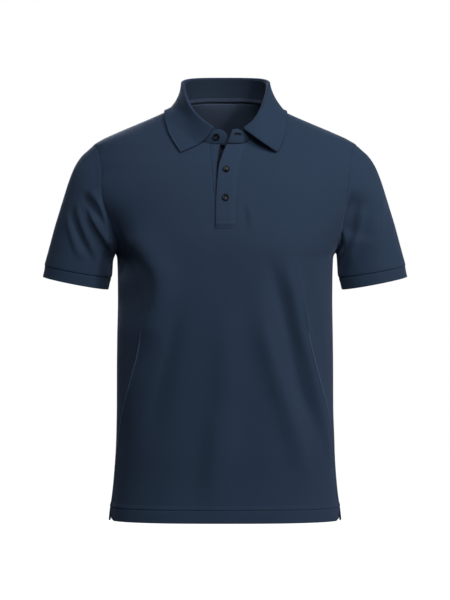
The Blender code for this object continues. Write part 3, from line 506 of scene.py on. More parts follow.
def body_gap(points):
    """About how far points lie outside the body's outside, and the way out there."""

    def value(p):
        x, y, z = p[..., 0], p[..., 1], p[..., 2]
        off = y - SHIFT(z)
        n = np.where(off < 0, SQUARE(z), SQUARE_BACK(z))
        deep = np.where(off < 0, DEPTH_FRONT(z), DEPTH_BACK(z))
        return ((np.abs(x) / HALF_WIDTH(z)) ** n + (np.abs(off) / deep) ** n) ** (1 / n) - 1

    here = value(points)
    slope = np.stack([(value(points + step) - value(points - step)) / 0.2 for step in 0.1 * np.eye(3)], -1)
    size = np.maximum(np.linalg.norm(slope, axis=-1), 1e-9)
    return here / size, slope / size[..., None]


def keep_off(points, least):
    out = np.array(points, float)
    for _ in range(4):
        gap, way = body_gap(out)
        out += way * np.maximum(least - gap, 0.0)[..., None]
    return out


# ------------------------------------------------------------------ grids
def finer(edges, step):
    """Values from the first edge to the last, about step apart, with closer ones beside each edge."""
    close = np.array((0.35, 0.9, 1.8))
    out = []
    for a, b in zip(edges, edges[1:]):
        count = max(int(round((b - a) / step)), 4)
        out += [*np.linspace(a, b, count + 1), *(a + close), *(b - close)]
    return np.unique(np.round(np.clip(out, edges[0], edges[-1]), 6))


def share_angle(s, first, last, z, back):
    """Angles across half a panel, which keep to the steady ones near the underarm."""
    steady = (STEADY_BACK if back else STEADY_FRONT)(z)
    inside = (z > STEADY[0][0]) & (z < STEADY[-1][0])
    steady = np.where(inside, np.minimum(steady, last), last)
    return first + (steady - first) * s + (last - steady) * s**5


def seam_angle(z, edge):
    """The angle of the side seam, or of the vent's edge below its top."""
    x = np.where(z < VENT_TOP - 0.1, edge(z), SEAM_X(z))
    return np.where(z > UNDERARM - 0.01, math.pi / 2, angle_at(x, z))


def panel_half(side, s, heights, shares, inner, neck_line, back=False):
    """Angles and heights of half a panel: rows from the hem up, columns from the inner edge to the side."""
    split = NECK_SHARE[back]
    s = s[None, :]
    z = heights[:, None]
    seam = math.pi - seam_angle(z, VENT_BACK) if back else seam_angle(z, VENT_FRONT)
    low = share_angle(s, angle_at(inner(z), z, back), seam, z, back)
    low_z = np.broadcast_to(z, low.shape)

    ridge_z = np.linspace(NECK_TIP[1], SHOULDER_TIP[1], 400)
    top_x, top_z = neck_line(np.minimum(s / split, 1.0))
    out_x = NECK_TIP[0] + (SHOULDER_TIP[0] - NECK_TIP[0]) * (s - split) / (1 - split)
    out_z = np.interp(out_x, HALF_WIDTH(ridge_z), ridge_z)
    on_ridge = s > split - 1e-9
    top_x, top_z = np.where(on_ridge, out_x, top_x), np.where(on_ridge, out_z, top_z)

    under = low[-1:]
    low_x = on_body(math.pi - under if back else under, UNDERARM)[..., 0]
    t = shares[1:, None]
    g = ease(t, 1 - s**8, 1 - smooth((s - split + 0.22) / 0.22))
    x = low_x + (top_x - low_x) * g
    z = UNDERARM + (top_z - UNDERARM) * g
    out = ARM_X(z[:, -1:]) - x[:, -1:]
    inn = inner(z[:, :1]) - x[:, :1]
    x = x + out * s**3 + inn * (1 - s) ** 3
    x[-1] = top_x[0]
    u = angle_at(x, z, back)
    shared = share_angle(s, angle_at(inner(z), z, back), angle_at(ARM_X(z), z, back), z, back)
    mixed = shared + (u - shared) * smooth((t - 0.12) / 0.7)
    # in order, so that no two columns cross
    u = np.sort(np.where(t < 1, mixed, np.where(on_ridge, math.pi / 2, u)), axis=1)
    u, z = np.vstack([low, u]), np.vstack([low_z, z])
    if back:
        u = math.pi - u
    return u * side, z


def row_heights():
    """Heights of the rows below the underarm, closer at the hem and its stitching."""
    beside = HEM_STITCH + np.array((-0.5, 0.5, 1.1, 2.0, 3.6, 6.0, 9.0))
    hem = finer((HEM, HEM_STITCH, VENT_TOP), 4.0)
    body = np.arange(VENT_TOP, UNDERARM, 4.2)
    return np.unique(np.concatenate([hem, [HEM + 0.15], beside, body, [UNDERARM]]))


def row_shares():
    """Shares of the way up from the underarm, closer at the slot's end and at the top seam."""
    t = 1 - (1 - np.linspace(0, 1, 44)) ** 1.5
    near = np.array((0.002, 0.005, 0.010))
    return np.unique(np.concatenate([t, SLOT_T + near, [SLOT_T], 1 - near]))


def close_shares(count, near):
    """Even shares from nought to one, with closer ones beside both ends."""
    near = np.array(near)
    return np.unique(np.concatenate([np.linspace(0, 1, count), near, 1 - near]))


def neck_of(start, bend, height):
    """The neck's seam on half a panel, from its inner end to the shoulder, as a function of the share."""

    def line(k):
        x = start + (NECK_TIP[0] - start) * np.sin(k * math.pi / 2) ** bend
        return x, height(x)

    return line


def lengths(points, axis):
    """Distance along the rows (axis 1) or the columns (axis 0) of a grid from its first line."""
    step = np.linalg.norm(np.diff(points, axis=axis), axis=-1)
    pad = [(0, 0), (0, 0)]
    pad[axis] = (1, 0)
    return np.pad(np.cumsum(step, axis=axis), pad)


def margins(points):
    """Distances across and up a grid, then those from its nearer side and from its last row."""
    across, up = lengths(points, 1), lengths(points, 0)
    return across, up, np.minimum(across, across[:, -1:] - across), up[-1:] - up


def grid_normals(points, closed=False):
    """Normals of a grid whose columns run to the right and rows up, as seen from outside."""
    if closed:
        wide = np.concatenate([points[:, -1:], points, points[:, :1]], 1)
        across = (wide[:, 2:] - wide[:, :-2]) / 2
    else:
        across = np.gradient(points, axis=1)
    up = np.gradient(points, axis=0)
    return unit(np.cross(across, up))


def edge_roll(distance, radius):
    """How full the thickness is at a distance from an edge: round like a folded edge."""
    t = np.clip(distance / radius, 0, 1)
    return 0.22 + 0.78 * np.sqrt(np.maximum(1 - (1 - t) ** 2, 0))


def groove(distance, width):
    """One on a line, falling softly to nought beside it."""
    return np.exp(-((distance / width) ** 2))


# ------------------------------------------------------------------ meshes
def make_mesh(name, verts, faces, mats, uvs=None, slots=None):
    mesh = bpy.data.meshes.new(name)
    mesh.from_pydata((np.asarray(verts) * MM).tolist(), [], faces)
    for mat in mats:
        mesh.materials.append(mat)
    if uvs is not None:
        layer = mesh.uv_layers.new(name="cloth")
        layer.data.foreach_set("uv", np.asarray(uvs, np.float32).ravel())
        mesh.polygons.foreach_set("material_index", np.asarray(slots, np.int32))
    mesh.shade_smooth()
    mesh.update()
    obj = bpy.data.objects.new(name, mesh)
    bpy.context.scene.collection.objects.link(obj)
    return obj


def stacked(rings, steps, base=0):
    """Faces of a closed solid made of rings of points, one above the other."""
    faces = []
    for low in range(base, base + (rings - 1) * steps, steps):
        for k in range(steps):
            m = (k + 1) % steps
            faces.append([low + k, low + m, low + steps + m, low + steps + k])
    top = base + (rings - 1) * steps
    return faces + [list(range(base, base + steps))[::-1], list(range(top, top + steps))]


def shell(name, outer, inner, uv, mats, mask=None, closed=False, turn=False):
    """A thin closed shell between two grids, its outside in the first material, its inside in the second."""
    rows, cols = outer.shape[:2]
    if closed:
        seam = uv[:, :1].copy()
        seam[:, 0, 0] += (uv[:, -1, 0] - uv[:, 0, 0]) * (1 + 1 / (cols - 1))
        uv = np.concatenate([uv, seam], 1)
    cells = np.ones((rows - 1, cols if closed else cols - 1), bool) if mask is None else mask
    j, i = np.nonzero(cells)
    k = (i + 1) % cols
    at = np.arange(rows * cols).reshape(rows, cols)
    quad = np.stack([at[j, i], at[j, k], at[j + 1, k], at[j + 1, i]], 1)
    quad_uv = np.stack([uv[j, i], uv[j, i + 1], uv[j + 1, i + 1], uv[j + 1, i]], 1)
    inside = quad[:, ::-1] + rows * cols
    inside_uv = quad_uv[:, ::-1]
    if turn:
        quad, quad_uv = quad[:, ::-1], quad_uv[:, ::-1]
        inside, inside_uv = inside[:, ::-1], inside_uv[:, ::-1]
    # the edges with one face alone get a rim
    single = {}
    for n, ring in enumerate(quad.tolist()):
        for c in range(4):
            a, b = ring[c], ring[(c + 1) % 4]
            if (b, a) in single:
                del single[(b, a)]
            else:
                single[(a, b)] = (n, c)
    ends = np.array(list(single))
    n, c = np.array(list(single.values())).T
    a, b = ends.T
    rim = np.stack([b, a, a + rows * cols, b + rows * cols], 1)
    ua, ub = quad_uv[n, c], quad_uv[n, (c + 1) % 4]
    uvs = np.concatenate([quad_uv, inside_uv, np.stack([ub, ua, ua, ub], 1)])
    slots = np.repeat((0, 1, 0), (len(quad), len(inside), len(rim)))
    used, faces = np.unique(np.concatenate([quad, inside, rim]), return_inverse=True)
    verts = np.concatenate([outer.reshape(-1, 3), inner.reshape(-1, 3)])[used]
    return make_mesh(name, verts, faces.reshape(-1, 4).tolist(), mats, uvs, slots)


class Threads:
    """Stitches laid along lines, gathered into one mesh."""

    def __init__(self):
        self.verts, self.faces = [], []

    def one(self, centre, way, normal, long, wide, tall):
        side = unit(np.cross(normal, way))
        self.faces += stacked(5, 6, len(self.verts))
        for share, size in ((-0.5, 0.35), (-0.32, 0.9), (0.0, 1.0), (0.32, 0.9), (0.5, 0.35)):
            sink = -0.5 * tall * (2 * share) ** 4
            for k in range(6):
                a = math.pi * k / 3
                p = centre + way * long * share + side * wide / 2 * size * math.cos(a)
                self.verts.append(p + normal * (tall / 2 * size * math.sin(a) + sink))

    def run(self, line, normals, lift=0.05, pitch=PITCH, long=STITCH, wide=THREAD):
        """A row of stitches along a line on the cloth."""
        at = np.concatenate([[0], np.cumsum(np.linalg.norm(np.diff(line, axis=0), axis=1))])
        count = int(at[-1] // pitch)
        spots = (np.arange(count) + 0.5) * at[-1] / count

        def along(values, shift=0.0):
            return np.stack([np.interp(spots + shift, at, values[:, c]) for c in range(3)], 1)

        way = unit(along(line, 0.4) - along(line, -0.4))
        for p, w, n in zip(along(line), way, unit(along(normals))):
            self.one(p + n * lift, w, n, long, wide, wide * 0.8)

    def make(self, name, mat):
        keep(make_mesh(name, np.array(self.verts), self.faces, [mat]))


# ------------------------------------------------------------------ materials
def node_maths(tree):
    """A short way to add Math nodes."""

    def op(kind, *values):
        node = tree.nodes.new("ShaderNodeMath")
        node.operation = kind
        for socket, value in zip(node.inputs, values):
            if isinstance(value, (int, float)):
                socket.default_value = value
            else:
                tree.links.new(value, socket)
        return node.outputs[0]

    return op


def find(tree, kind):
    return next(node for node in tree.nodes if node.type == kind)


def new_material(name, colour, rough, sheen=0.0):
    mat = bpy.data.materials.new(name)
    mat.use_nodes = True
    shader = find(mat.node_tree, "BSDF_PRINCIPLED")
    shader.inputs["Base Color"].default_value = (*colour, 1.0)
    shader.inputs["Roughness"].default_value = rough
    shader.inputs["Specular IOR Level"].default_value = 0.25
    shader.inputs["Sheen Weight"].default_value = sheen
    shader.inputs["Sheen Roughness"].default_value = 0.45
    shader.inputs["Sheen Tint"].default_value = (0.55, 0.68, 1.0, 1.0)
    return mat, mat.node_tree, shader


def texture(tree, kind, where, **settings):
    """A texture at the given coordinates, its sockets set by name."""
    node = tree.nodes.new("ShaderNodeTex" + kind)
    for name, value in settings.items():
        node.inputs[name].default_value = value
    tree.links.new(where, node.inputs["Vector"])
    return node.outputs["Fac"]


def shades(tree, shader, colour, dark, light, factor):
    """Base colour between a darker and a lighter shade."""
    ramp = tree.nodes.new("ShaderNodeMix")
    ramp.data_type = "RGBA"
    for socket, share in (("A", dark), ("B", light)):
        ramp.inputs[socket].default_value = (*[c * share for c in colour], 1.0)
    tree.links.new(factor, ramp.inputs["Factor"])
    tree.links.new(ramp.outputs["Result"], shader.inputs["Base Color"])


def bump_from(tree, shader, height, depth):
    bump = tree.nodes.new("ShaderNodeBump")
    bump.inputs["Strength"].default_value = 1.0
    bump.inputs["Distance"].default_value = depth * MM
    tree.links.new(height, bump.inputs["Height"])
    tree.links.new(bump.outputs[0], shader.inputs["Normal"])


def cloth(name, colour, rough, sheen, depth, share, raised):
    """Cloth raised by a function of its width and length in millimetres; its colour is painted darker in the
    knit's hollows and lighter on its raised loops, as painted shade, and is faintly uneven at random.
    """
    mat, tree, shader = new_material(name, colour, rough, sheen)
    uv = tree.nodes.new("ShaderNodeUVMap")
    uv.uv_map = "cloth"
    split = tree.nodes.new("ShaderNodeSeparateXYZ")
    tree.links.new(uv.outputs[0], split.inputs[0])
    op = node_maths(tree)
    u, v = (op("MULTIPLY", split.outputs[k], 1000.0) for k in range(2))
    height = raised(op, u, v)
    bump_from(tree, shader, height, depth)
    noise = texture(tree, "Noise", uv.outputs[0], Scale=38.0, Detail=3.0)
    # painted shade: darker in the knit's hollows and lighter on its raised loops, with a faint random mottle
    hollow_shade_and_mottle = op("ADD", op("MULTIPLY", height, share), op("MULTIPLY", noise, 0.16))
    shades(tree, shader, colour, 0.84, 1.18, op("ADD", hollow_shade_and_mottle, 0.42 - share * 0.25))
    return mat


def pique(name, colour, wale=1.15, course=0.95, depth=0.10, sheen=0.25):
    """Fine pique knit: small raised cells in rows, each row half a cell on from the last."""

    def raised(op, u, v):
        across = op("COSINE", op("MULTIPLY", u, 2 * math.pi / wale))
        cell = op("MULTIPLY", across, op("COSINE", op("MULTIPLY", v, math.pi / course)))
        return op("POWER", op("ABSOLUTE", cell), 0.7)

    return cloth(name, colour, 0.82, sheen, depth, 0.5, raised)


def rib(name, colour, wale=1.3, depth=0.16):
    """Rib knit: fine ridges that run up the cloth, with small loops along each."""

    def raised(op, u, v):
        ridge = op("ABSOLUTE", op("SINE", op("MULTIPLY", u, math.pi / wale)))
        loops = op("SINE", op("ADD", op("MULTIPLY", v, 2 * math.pi), op("MULTIPLY", u, 1.2)))
        return op("ADD", op("POWER", ridge, 0.6), op("MULTIPLY", loops, 0.14))

    return cloth(name, colour, 0.85, 0.22, depth, 0.45, raised)


def twill_tape(name, colour):
    """Herringbone tape."""

    def raised(op, u, v):
        fold = op("ABSOLUTE", op("SUBTRACT", op("FRACT", op("DIVIDE", v, 3.4)), 0.5))
        return op("SINE", op("ADD", op("MULTIPLY", u, 2 * math.pi / 0.8), op("MULTIPLY", fold, 26.0)))

    return cloth(name, colour, 0.8, 0.15, 0.10, 0.3, raised)


def thread(name, colour):
    mat, tree, shader = new_material(name, colour, 0.55, 0.1)
    place = tree.nodes.new("ShaderNodeTexCoord").outputs["Object"]
    bump_from(tree, shader, texture(tree, "Wave", place, Scale=900.0, Distortion=1.0), 0.05)
    return mat


def resin(name, colour):
    mat, tree, shader = new_material(name, colour, 0.3)
    shader.inputs["Specular IOR Level"].default_value = 0.22
    shader.inputs["Coat Weight"].default_value = 0.04
    shader.inputs["Coat Roughness"].default_value = 0.08
    place = tree.nodes.new("ShaderNodeTexCoord").outputs["Object"]
    shades(tree, shader, colour, 0.6, 1.7, texture(tree, "Noise", place, Scale=260.0))
    return mat


NAVY = (0.0243, 0.0472, 0.0908)
# The inside of the knit is coloured lighter than the dye: painted light for the inside of the back neck
INSIDE_LIT = (0.0590, 0.0840, 0.1370)


def make_materials():
    fine = {"wale": 1.0, "course": 0.85, "depth": 0.06}
    return {
        "knit": pique("knit_body", NAVY),
        # painted light: the inner faces of the panels and sleeves are in the lighter knit
        "inside": pique("knit_inside_painted_light", INSIDE_LIT, sheen=0.1, depth=0.06),
        "sleeve": pique("knit_sleeve", NAVY),
        "collar": rib("knit_collar", (0.0226, 0.0440, 0.0848), wale=1.05, depth=0.07),
        "stand": pique("knit_stand", (0.0229, 0.0445, 0.0855), **fine),
        # painted shade: the stand's inside is coloured darker for the shade inside the neck
        "stand_in_shaded": pique("knit_stand_inside_painted_shade", (0.0138, 0.0258, 0.0490), sheen=0.1, **fine),
        "strip": pique("knit_strip", NAVY, depth=0.08),
        # painted shade: the under strip's lap is coloured darker for the shadow under the over strip
        "lap_shade": pique("knit_lap_painted_shade", (0.0060, 0.0110, 0.0200), depth=0.08, sheen=0.1),
        "rib": rib("rib_cuff", (0.0229, 0.0445, 0.0840)),
        "tape": twill_tape("tape_neck", (0.0420, 0.0610, 0.1000)),
        "thread": thread("thread_navy", (0.0330, 0.0500, 0.0860)),
        # painted highlight: a pale thread for the bright line along the lower side seams
        "pale_highlight": thread("thread_pale_painted_highlight", (0.1500, 0.2400, 0.3800)),
        "slit": new_material("slit_shade", (0.0015, 0.0021, 0.0036), 1.0)[0],
        "button": resin("resin_button", (0.0030, 0.0048, 0.0085)),
    }


# ------------------------------------------------------------------ pieces
def keep(obj, replaces=()):
    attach(obj, "root")
    if replaces:
        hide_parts(*replaces)


def cloth_uv(points, middle=0):
    """Width from the middle column and length along the cloth, in metres."""
    across, up = lengths(points, 1), lengths(points, 0)
    across = across - across[:, middle : middle + 1]
    return np.stack([across, np.broadcast_to(up.mean(1, keepdims=True), across.shape)], -1) * MM


def two_layers(points, normals, thick, full=1.0, sink=1.0):
    """Outside and inside of cloth whose outside is at the points. Its edges are rolled as full says,
    and where sink is nought the middle of its thickness lies on the points instead."""
    shape = points.shape[:2]
    thick, full, sink = (np.broadcast_to(value, shape)[..., None] for value in (thick, full, sink))
    middle = points - normals * thick / 2 * sink
    return middle + normals * thick / 2 * full, middle - normals * thick / 2 * full


def hem_relief(z):
    """The turned hem: a little proud, with a groove along its stitching and a soft ridge above."""
    d = z - HEM_STITCH
    ridge = 0.9 * smooth((9.0 - d) / 5.5) * smooth((d + 0.4) / 2.4)
    return 0.35 * smooth((1.0 - d) / 2.0) + ridge - 0.25 * groove(d, 0.8)


def seam_lift(x, z):
    """How far the cloth rises or dips at the side seams and armholes; the right armhole dips most."""
    return SIDE_LIFT(z) - RIGHT_DIP * smooth((z - RIGHT_DIP_FROM) / 50) * (x > 0)


def seam_relief(distance, lift):
    """How far the cloth rises at a seam, or dips where lift is below nought, with a soft welt beside it."""
    return lift * groove(distance, SEAM_WIDE) + 0.22 * groove(distance - 4.2, 1.8)


def panel(name, node, u, z, points, slot_gap, mask, heights, mats, threads):
    """The front or back with its hem and seams in relief, and the stitching of the hem."""
    out = level_normal(u, z)
    _, up, side_gap, top = margins(points)
    seam_gap = np.minimum(side_gap, top)
    points = points + out * hem_relief(points[..., 2])[..., None]
    lift = np.where(side_gap < top, seam_lift(points[..., 0], z), TOP_LIFT)
    points = points + out * seam_relief(seam_gap, lift)[..., None]
    points = points + out * seam_relief(slot_gap, SLOT_LIFT)[..., None]
    normals = grid_normals(points)
    thick = CLOTH + HEM_EXTRA * smooth((HEM_STITCH - points[..., 2]) / 1.5)
    gap = np.minimum(np.minimum(seam_gap, slot_gap), up + 0.2)
    outer, inner = two_layers(points, normals, thick, edge_roll(gap, 0.8), smooth(seam_gap / 1.5))
    uv = cloth_uv(points, points.shape[1] // 2)
    obj = shell(name, outer, inner, uv, [mats["knit"], mats["inside"]], mask)
    row = int(np.argmin(np.abs(heights - HEM_STITCH)))
    threads.run(outer[row, 3:-3], normals[row, 3:-3])
    keep(obj, [node])
    return points, normals


def front_panel(mats, threads, pale_highlight):
    """The front, slit for the placket, and the pale stitches low down beside its side seams, a painted
    highlight along them.
    """
    heights, shares = row_heights(), row_shares()
    s = close_shares(75, PANEL_EDGE)
    halves = []
    for side, slot in ((-1, SLOT_L), (1, SLOT_R)):
        neck_line = neck_of(abs(float(slot(STAND_SEAM))), 0.9, NECK_FRONT_Z)
        halves.append(panel_half(side, s, heights, shares, lambda z, f=slot: np.abs(f(z)), neck_line))
    (ul, zl), (ur, zr) = halves
    ul, zl = ul[:, ::-1], zl[:, ::-1]
    k = np.linspace(0, 1, SLOT_COLUMNS + 1)[1:-1]
    um = ul[:, -1:] + (ur[:, :1] - ul[:, -1:]) * k
    zm = zl[:, -1:] + (zr[:, :1] - zl[:, -1:]) * k
    u, z = np.hstack([ul, um, ur]), np.hstack([zl, zm, zr])
    points = creased_body(u, z)
    # the lower corners are rounded
    end = margins(points)[2]
    low = np.clip((HEM + CORNER_TALL - z) / CORNER_TALL, 0, 1)
    points[..., 2] += CORNER_RISE * np.clip(1 - end / CORNER_WIDE, 0, 1) ** 2 * low

    left, right = len(s) - 1, len(s) - 1 + SLOT_COLUMNS
    slot_row = len(heights) - 1 + int(np.argmin(np.abs(shares - SLOT_T)))
    rows, cols = u.shape
    mask = np.ones((rows - 1, cols - 1), bool)
    mask[slot_row:, left:right] = False
    across = lengths(points, 1)
    slot_gap = np.full((rows, cols), FAR)
    slot_gap[slot_row:, : left + 1] = (across[:, left : left + 1] - across)[slot_row:, : left + 1]
    slot_gap[slot_row:, right:] = (across - across[:, right : right + 1])[slot_row:, right:]
    names = "shirt_front", "front_panel"
    points, normals = panel(*names, u, z, points, slot_gap, mask, heights, mats, threads)
    low = np.flatnonzero((heights > VENT_TOP + 4) & (heights < SIDE_STITCH_TOP))
    for edge in (0, -1):
        # pale stitches along the lower side seams: a painted highlight
        pale_highlight.run(points[low, edge], normals[low, edge], *SIDE_STITCH)


def back_panel(mats, threads):
    heights = row_heights()
    neck_line = neck_of(0.0, 0.95, NECK_BACK_Z)
    s = close_shares(81, PANEL_EDGE)
    u, z = panel_half(1, s, heights, row_shares(), lambda z: 0.0 * z, neck_line, True)
    u, z = np.hstack([u[:, ::-1], 2 * math.pi - u[:, 1:]]), np.hstack([z[:, ::-1], z[:, 1:]])
    points, slot_gap = creased_body(u, z), np.full(u.shape, FAR)
    panel("shirt_back", "back_panel", u, z, points, slot_gap, None, heights, mats, threads)


def armhole(side, shares):
    """The seam that the body shares with a sleeve, up the front and down the back, and the way out there."""
    points, ways = [], []
    for back in (False, True):
        z = UNDERARM + (SHOULDER_TIP[1] - UNDERARM) * ease(shares, 0.0, 0.0)
        u = angle_at(ARM_X(z), z, back)
        u = math.pi - u if back else u
        u[0] = u[-1] = math.pi / 2
        points.append(creased_body(u * side, z))
        ways.append(level_normal(u * side, z))
    return [np.vstack([front, back[::-1][1:-1]]) for front, back in (points, ways)]


def sleeve_rings(side, angles, table, shares, seam=None):
    """Rings down the sleeve. Each goes from the underarm up the front, over the top and down the back."""
    ox, oz, ix, iz, front, behind, shift = (curve(table, k)(shares)[:, None] for k in range(1, 8))
    c, sn = np.cos(angles)[None, :], np.sin(angles)[None, :]
    deep = np.where(sn >= 0, front, behind)
    tilt = SLEEVE_TILT * (smooth(shares)[:, None] if table is SLEEVE else 1.0)
    x = (ox + ix) / 2 + (ox - ix) / 2 * c
    z = (oz + iz) / 2 + (oz - iz) / 2 * c - tilt * sn
    y = shift - deep * sn
    rings = np.stack([x * side, y + 0 * x, z], -1)
    if seam is not None:
        away = seam - rings[:1]
        rings = rings + away * (np.maximum(0.0, 1 - shares / 0.6) ** 2)[:, None, None]
        rings[0] = seam
    return rings


def tube_normals(points, side):
    """Normals of a sleeve's or a band's rings, pointing outwards."""
    return grid_normals(points, True) * -side


def tube(kind, side, points, uv, mats, thick, gap, radius, sink=1.0):
    """A sleeve or its band as a piece, its edges rolled where the gap to them is small."""
    outer, inner = two_layers(points, tube_normals(points, side), thick, edge_roll(gap, radius), sink)
    name = f"{kind}_{SIDE_NAMES[side]}"
    keep(shell("shirt_" + name, outer, inner, uv, mats, closed=True, turn=side > 0), [name])


def sleeve(side, seam, seam_way, angles, mats):
    close = (0.004, 0.010, 0.018, 0.986, 0.993, 0.997)
    shares = np.unique(np.concatenate([np.linspace(0, 1, 64), close]))
    points = sleeve_rings(side, angles, SLEEVE, shares, seam)
    normals = tube_normals(points, side)
    x, z = points[..., 0], points[..., 2]
    front, behind = (crease_height(SLEEVE_CREASES[(side, k)], x, z) for k in (1, -1))
    h = np.where(np.sin(angles) >= 0, front, behind) * smooth(np.abs(np.sin(angles)) / 0.5)
    h = h * (smooth((1.02 - shares) / 0.10) * smooth((shares + 0.01) / 0.06))[:, None]
    points = points + normals * h[..., None]
    _, down, _, end = margins(points)
    # the cloth dips to the armhole's seam as the body does, and to the band's
    points = points + seam_way * seam_relief(down, seam_lift(seam[:, 0], seam[:, 2]))[..., None]
    points = points - normals * (0.9 * groove(end, 1.5))[..., None]
    layers = [mats["sleeve"], mats["inside"]]
    gap = np.minimum(down, end)
    tube("sleeve", side, points, cloth_uv(points), layers, CLOTH, gap, 0.8, smooth(down / 1.5))


def cuff(side, mats):
    """The rib band at the end of a sleeve, stepped in a little at its seam."""
    angles = np.linspace(math.pi, -math.pi, 145)[:-1]
    close = (0.01, 0.03, 0.06, 0.94, 0.97, 0.985, 0.995)
    shares = np.unique(np.concatenate([np.linspace(0, 1, 12), close]))
    points = sleeve_rings(side, angles, CUFF, shares)
    _, down, _, end = margins(points)
    rise = 0.12 * np.sin(angles * 9 + side) * smooth(down / 8) - 0.8 * groove(down, 1.2)
    points = points + tube_normals(points, side) * rise[..., None]
    uv = cloth_uv(points)
    uv[..., 1] = down.mean(1, keepdims=True) * MM
    layers = [mats["rib"], mats["rib"]]
    tube("cuff", side, points, uv, layers, BAND, np.minimum(down, end), 0.9)


def ring_out(points):
    """The level way out from a line that runs round the neck."""
    along = np.gradient(points, axis=0)
    return unit(np.stack([-along[:, 1], along[:, 0], np.zeros(len(points))], -1))


def stations_of(line):
    """Places along a line of the collar, close enough for smooth cloth."""
    return np.arange(0, len(line) - 1 + STATION_STEP / 2, STATION_STEP)


def collar_lines():
    """Fold and edge lines of the collar from its end on the viewer's left round the back to the other end,
    then the low and high lines of the stand, which go on past both."""
    sides = []
    for side, table, ends in ((-1, COLLAR_LEFT, STAND_END_LEFT), (1, COLLAR_RIGHT, STAND_END_RIGHT)):
        rows = np.array(table)
        x = np.abs(rows[:, 0])
        back = np.arange(len(rows)) < BACK_ROWS
        z = np.where(back, NECK_BACK_Z(x), NECK_FRONT_Z(x))
        u = np.where(back, math.pi - angle_at(x, z, True), angle_at(x, z))
        fold, edge = rows[:, 2:5] * (side, 1, 1), rows[:, 5:8] * (side, 1, 1)
        sides.append((on_body(u * side, z), fold, edge, np.array(ends) * (side, 1, 1, side, 1, 1)))
    left, right = sides
    seam, fold, edge = (np.vstack([left[k][::-1], right[k][1:]]) for k in range(3))
    top = fold - np.array([0, 0, FOLD_RISE]) - ring_out(fold) * FOLD_IN
    low = np.vstack([left[3][::-1, :3], seam, right[3][:, :3]])
    high = np.vstack([left[3][::-1, 3:], top, right[3][:, 3:]])
    return [spline(line, stations_of(line)) for line in (fold, edge, low, high)]


def collar_stand(mats, threads, low, high):
    v = close_shares(12, (0.01, 0.03, 0.06))
    mid = low[None] + (high - low)[None] * v[:, None, None]
    out = np.stack([ring_out(row) for row in mid])
    points = mid + out * (STAND_BOW * np.sin(math.pi * v))[:, None, None]
    normals = -grid_normals(points)
    _, up, sides, top = margins(points)
    gap = np.minimum(sides, np.minimum(up, top))
    outer, inner = two_layers(points, normals, COLLAR, edge_roll(gap, 1.0))
    # the stand's inside is in a darker knit, as painted shade
    layers = [mats["stand"], mats["stand_in_shaded"]]
    obj = shell("shirt_collar_stand", outer, inner, cloth_uv(points), layers, turn=True)
    keep(obj, ["collar_stand"])
    # stitching just above the seam
    threads.run(points[4], normals[3], 0.1)
    return points, normals


def collar_fall(mats, fold, edge):
    stations = stations_of(COLLAR_LEFT + COLLAR_RIGHT[1:])
    out = ring_out(fold)
    up = np.array([0.0, 0.0, 1.0])
    rows = [fold - up * FOLD_RISE - out * FOLD_IN]
    centre = fold + out * (FOLD_ROUND - FOLD_IN) - up * FOLD_ROUND
    for a in np.radians(np.linspace(172, 28, 14)):
        rows.append(centre + (out * math.cos(a) + up * math.sin(a)) * FOLD_ROUND)
    start = rows[-1]
    span = edge - start
    middle = stations[-1] / 2
    place = np.abs(stations - middle) / middle
    sag = FALL_SAG * smooth((1 - place) / 0.25)
    bow = np.where(stations < middle, *LEAF_BOW) * smooth((place - 0.72) / 0.28) ** 2
    off = LEAF_OFF * smooth((stations - 17.0) / 3.0)
    hollow = LEAF_HOLLOW * smooth((7.0 - stations) / 3.0)
    towards = unit(np.cross(span, out))
    towards = towards * np.sign(towards[:, :1] * -np.sign(stations - middle)[:, None] + 1e-9)
    for v in np.unique(np.concatenate([np.linspace(0.03, 1, 30), (0.965, 0.98, 0.99, 0.997)])):
        arch = 4 * v * (1 - v)
        p = start + span * v - (out * 0.9 - up * 0.1) * (sag * arch)[:, None]
        p = p + towards * (bow * arch)[:, None]
        p[:, 1] -= off * arch
        p = p - out * (hollow * 5.4 * v**1.5 * (1 - v))[:, None]
        rows.append(keep_off(p, COLLAR + 1.6))
    points = np.array(rows)
    normals = grid_normals(points)
    _, down, sides, end = margins(points)
    # a knitted-in welt runs just inside the free edges
    welt = np.minimum(sides + FAR * (down < 9), end)
    rise = 0.22 * groove(welt - 1.1, 0.9) - 0.16 * groove(welt - 3.4, 0.8)
    points = points + normals * rise[..., None]
    outer, inner = two_layers(points, normals, COLLAR, edge_roll(np.minimum(sides, end), 1.0))
    layers = [mats["collar"], mats["collar"]]
    keep(shell("shirt_collar_fall", outer, inner, cloth_uv(points), layers), ["collar_fall"])


def placket_grid(over, s, k):
    """A strip down the front, columns left to right, rows from the bottom up."""
    bottom = STRIP_END if over else UNDER_END
    left, right, short = (OVER_FREE, OVER_SEWN, 1.2) if over else (SLOT_L, UNDER_FREE, 0.2)
    z = bottom + (STAND_SEAM - bottom) * k + 0 * s
    for _ in range(6):
        x = left(z) + (right(z) - left(z)) * s
        z = bottom + (NECK_FRONT_Z(np.abs(x)) - short - bottom) * k
    return x, z


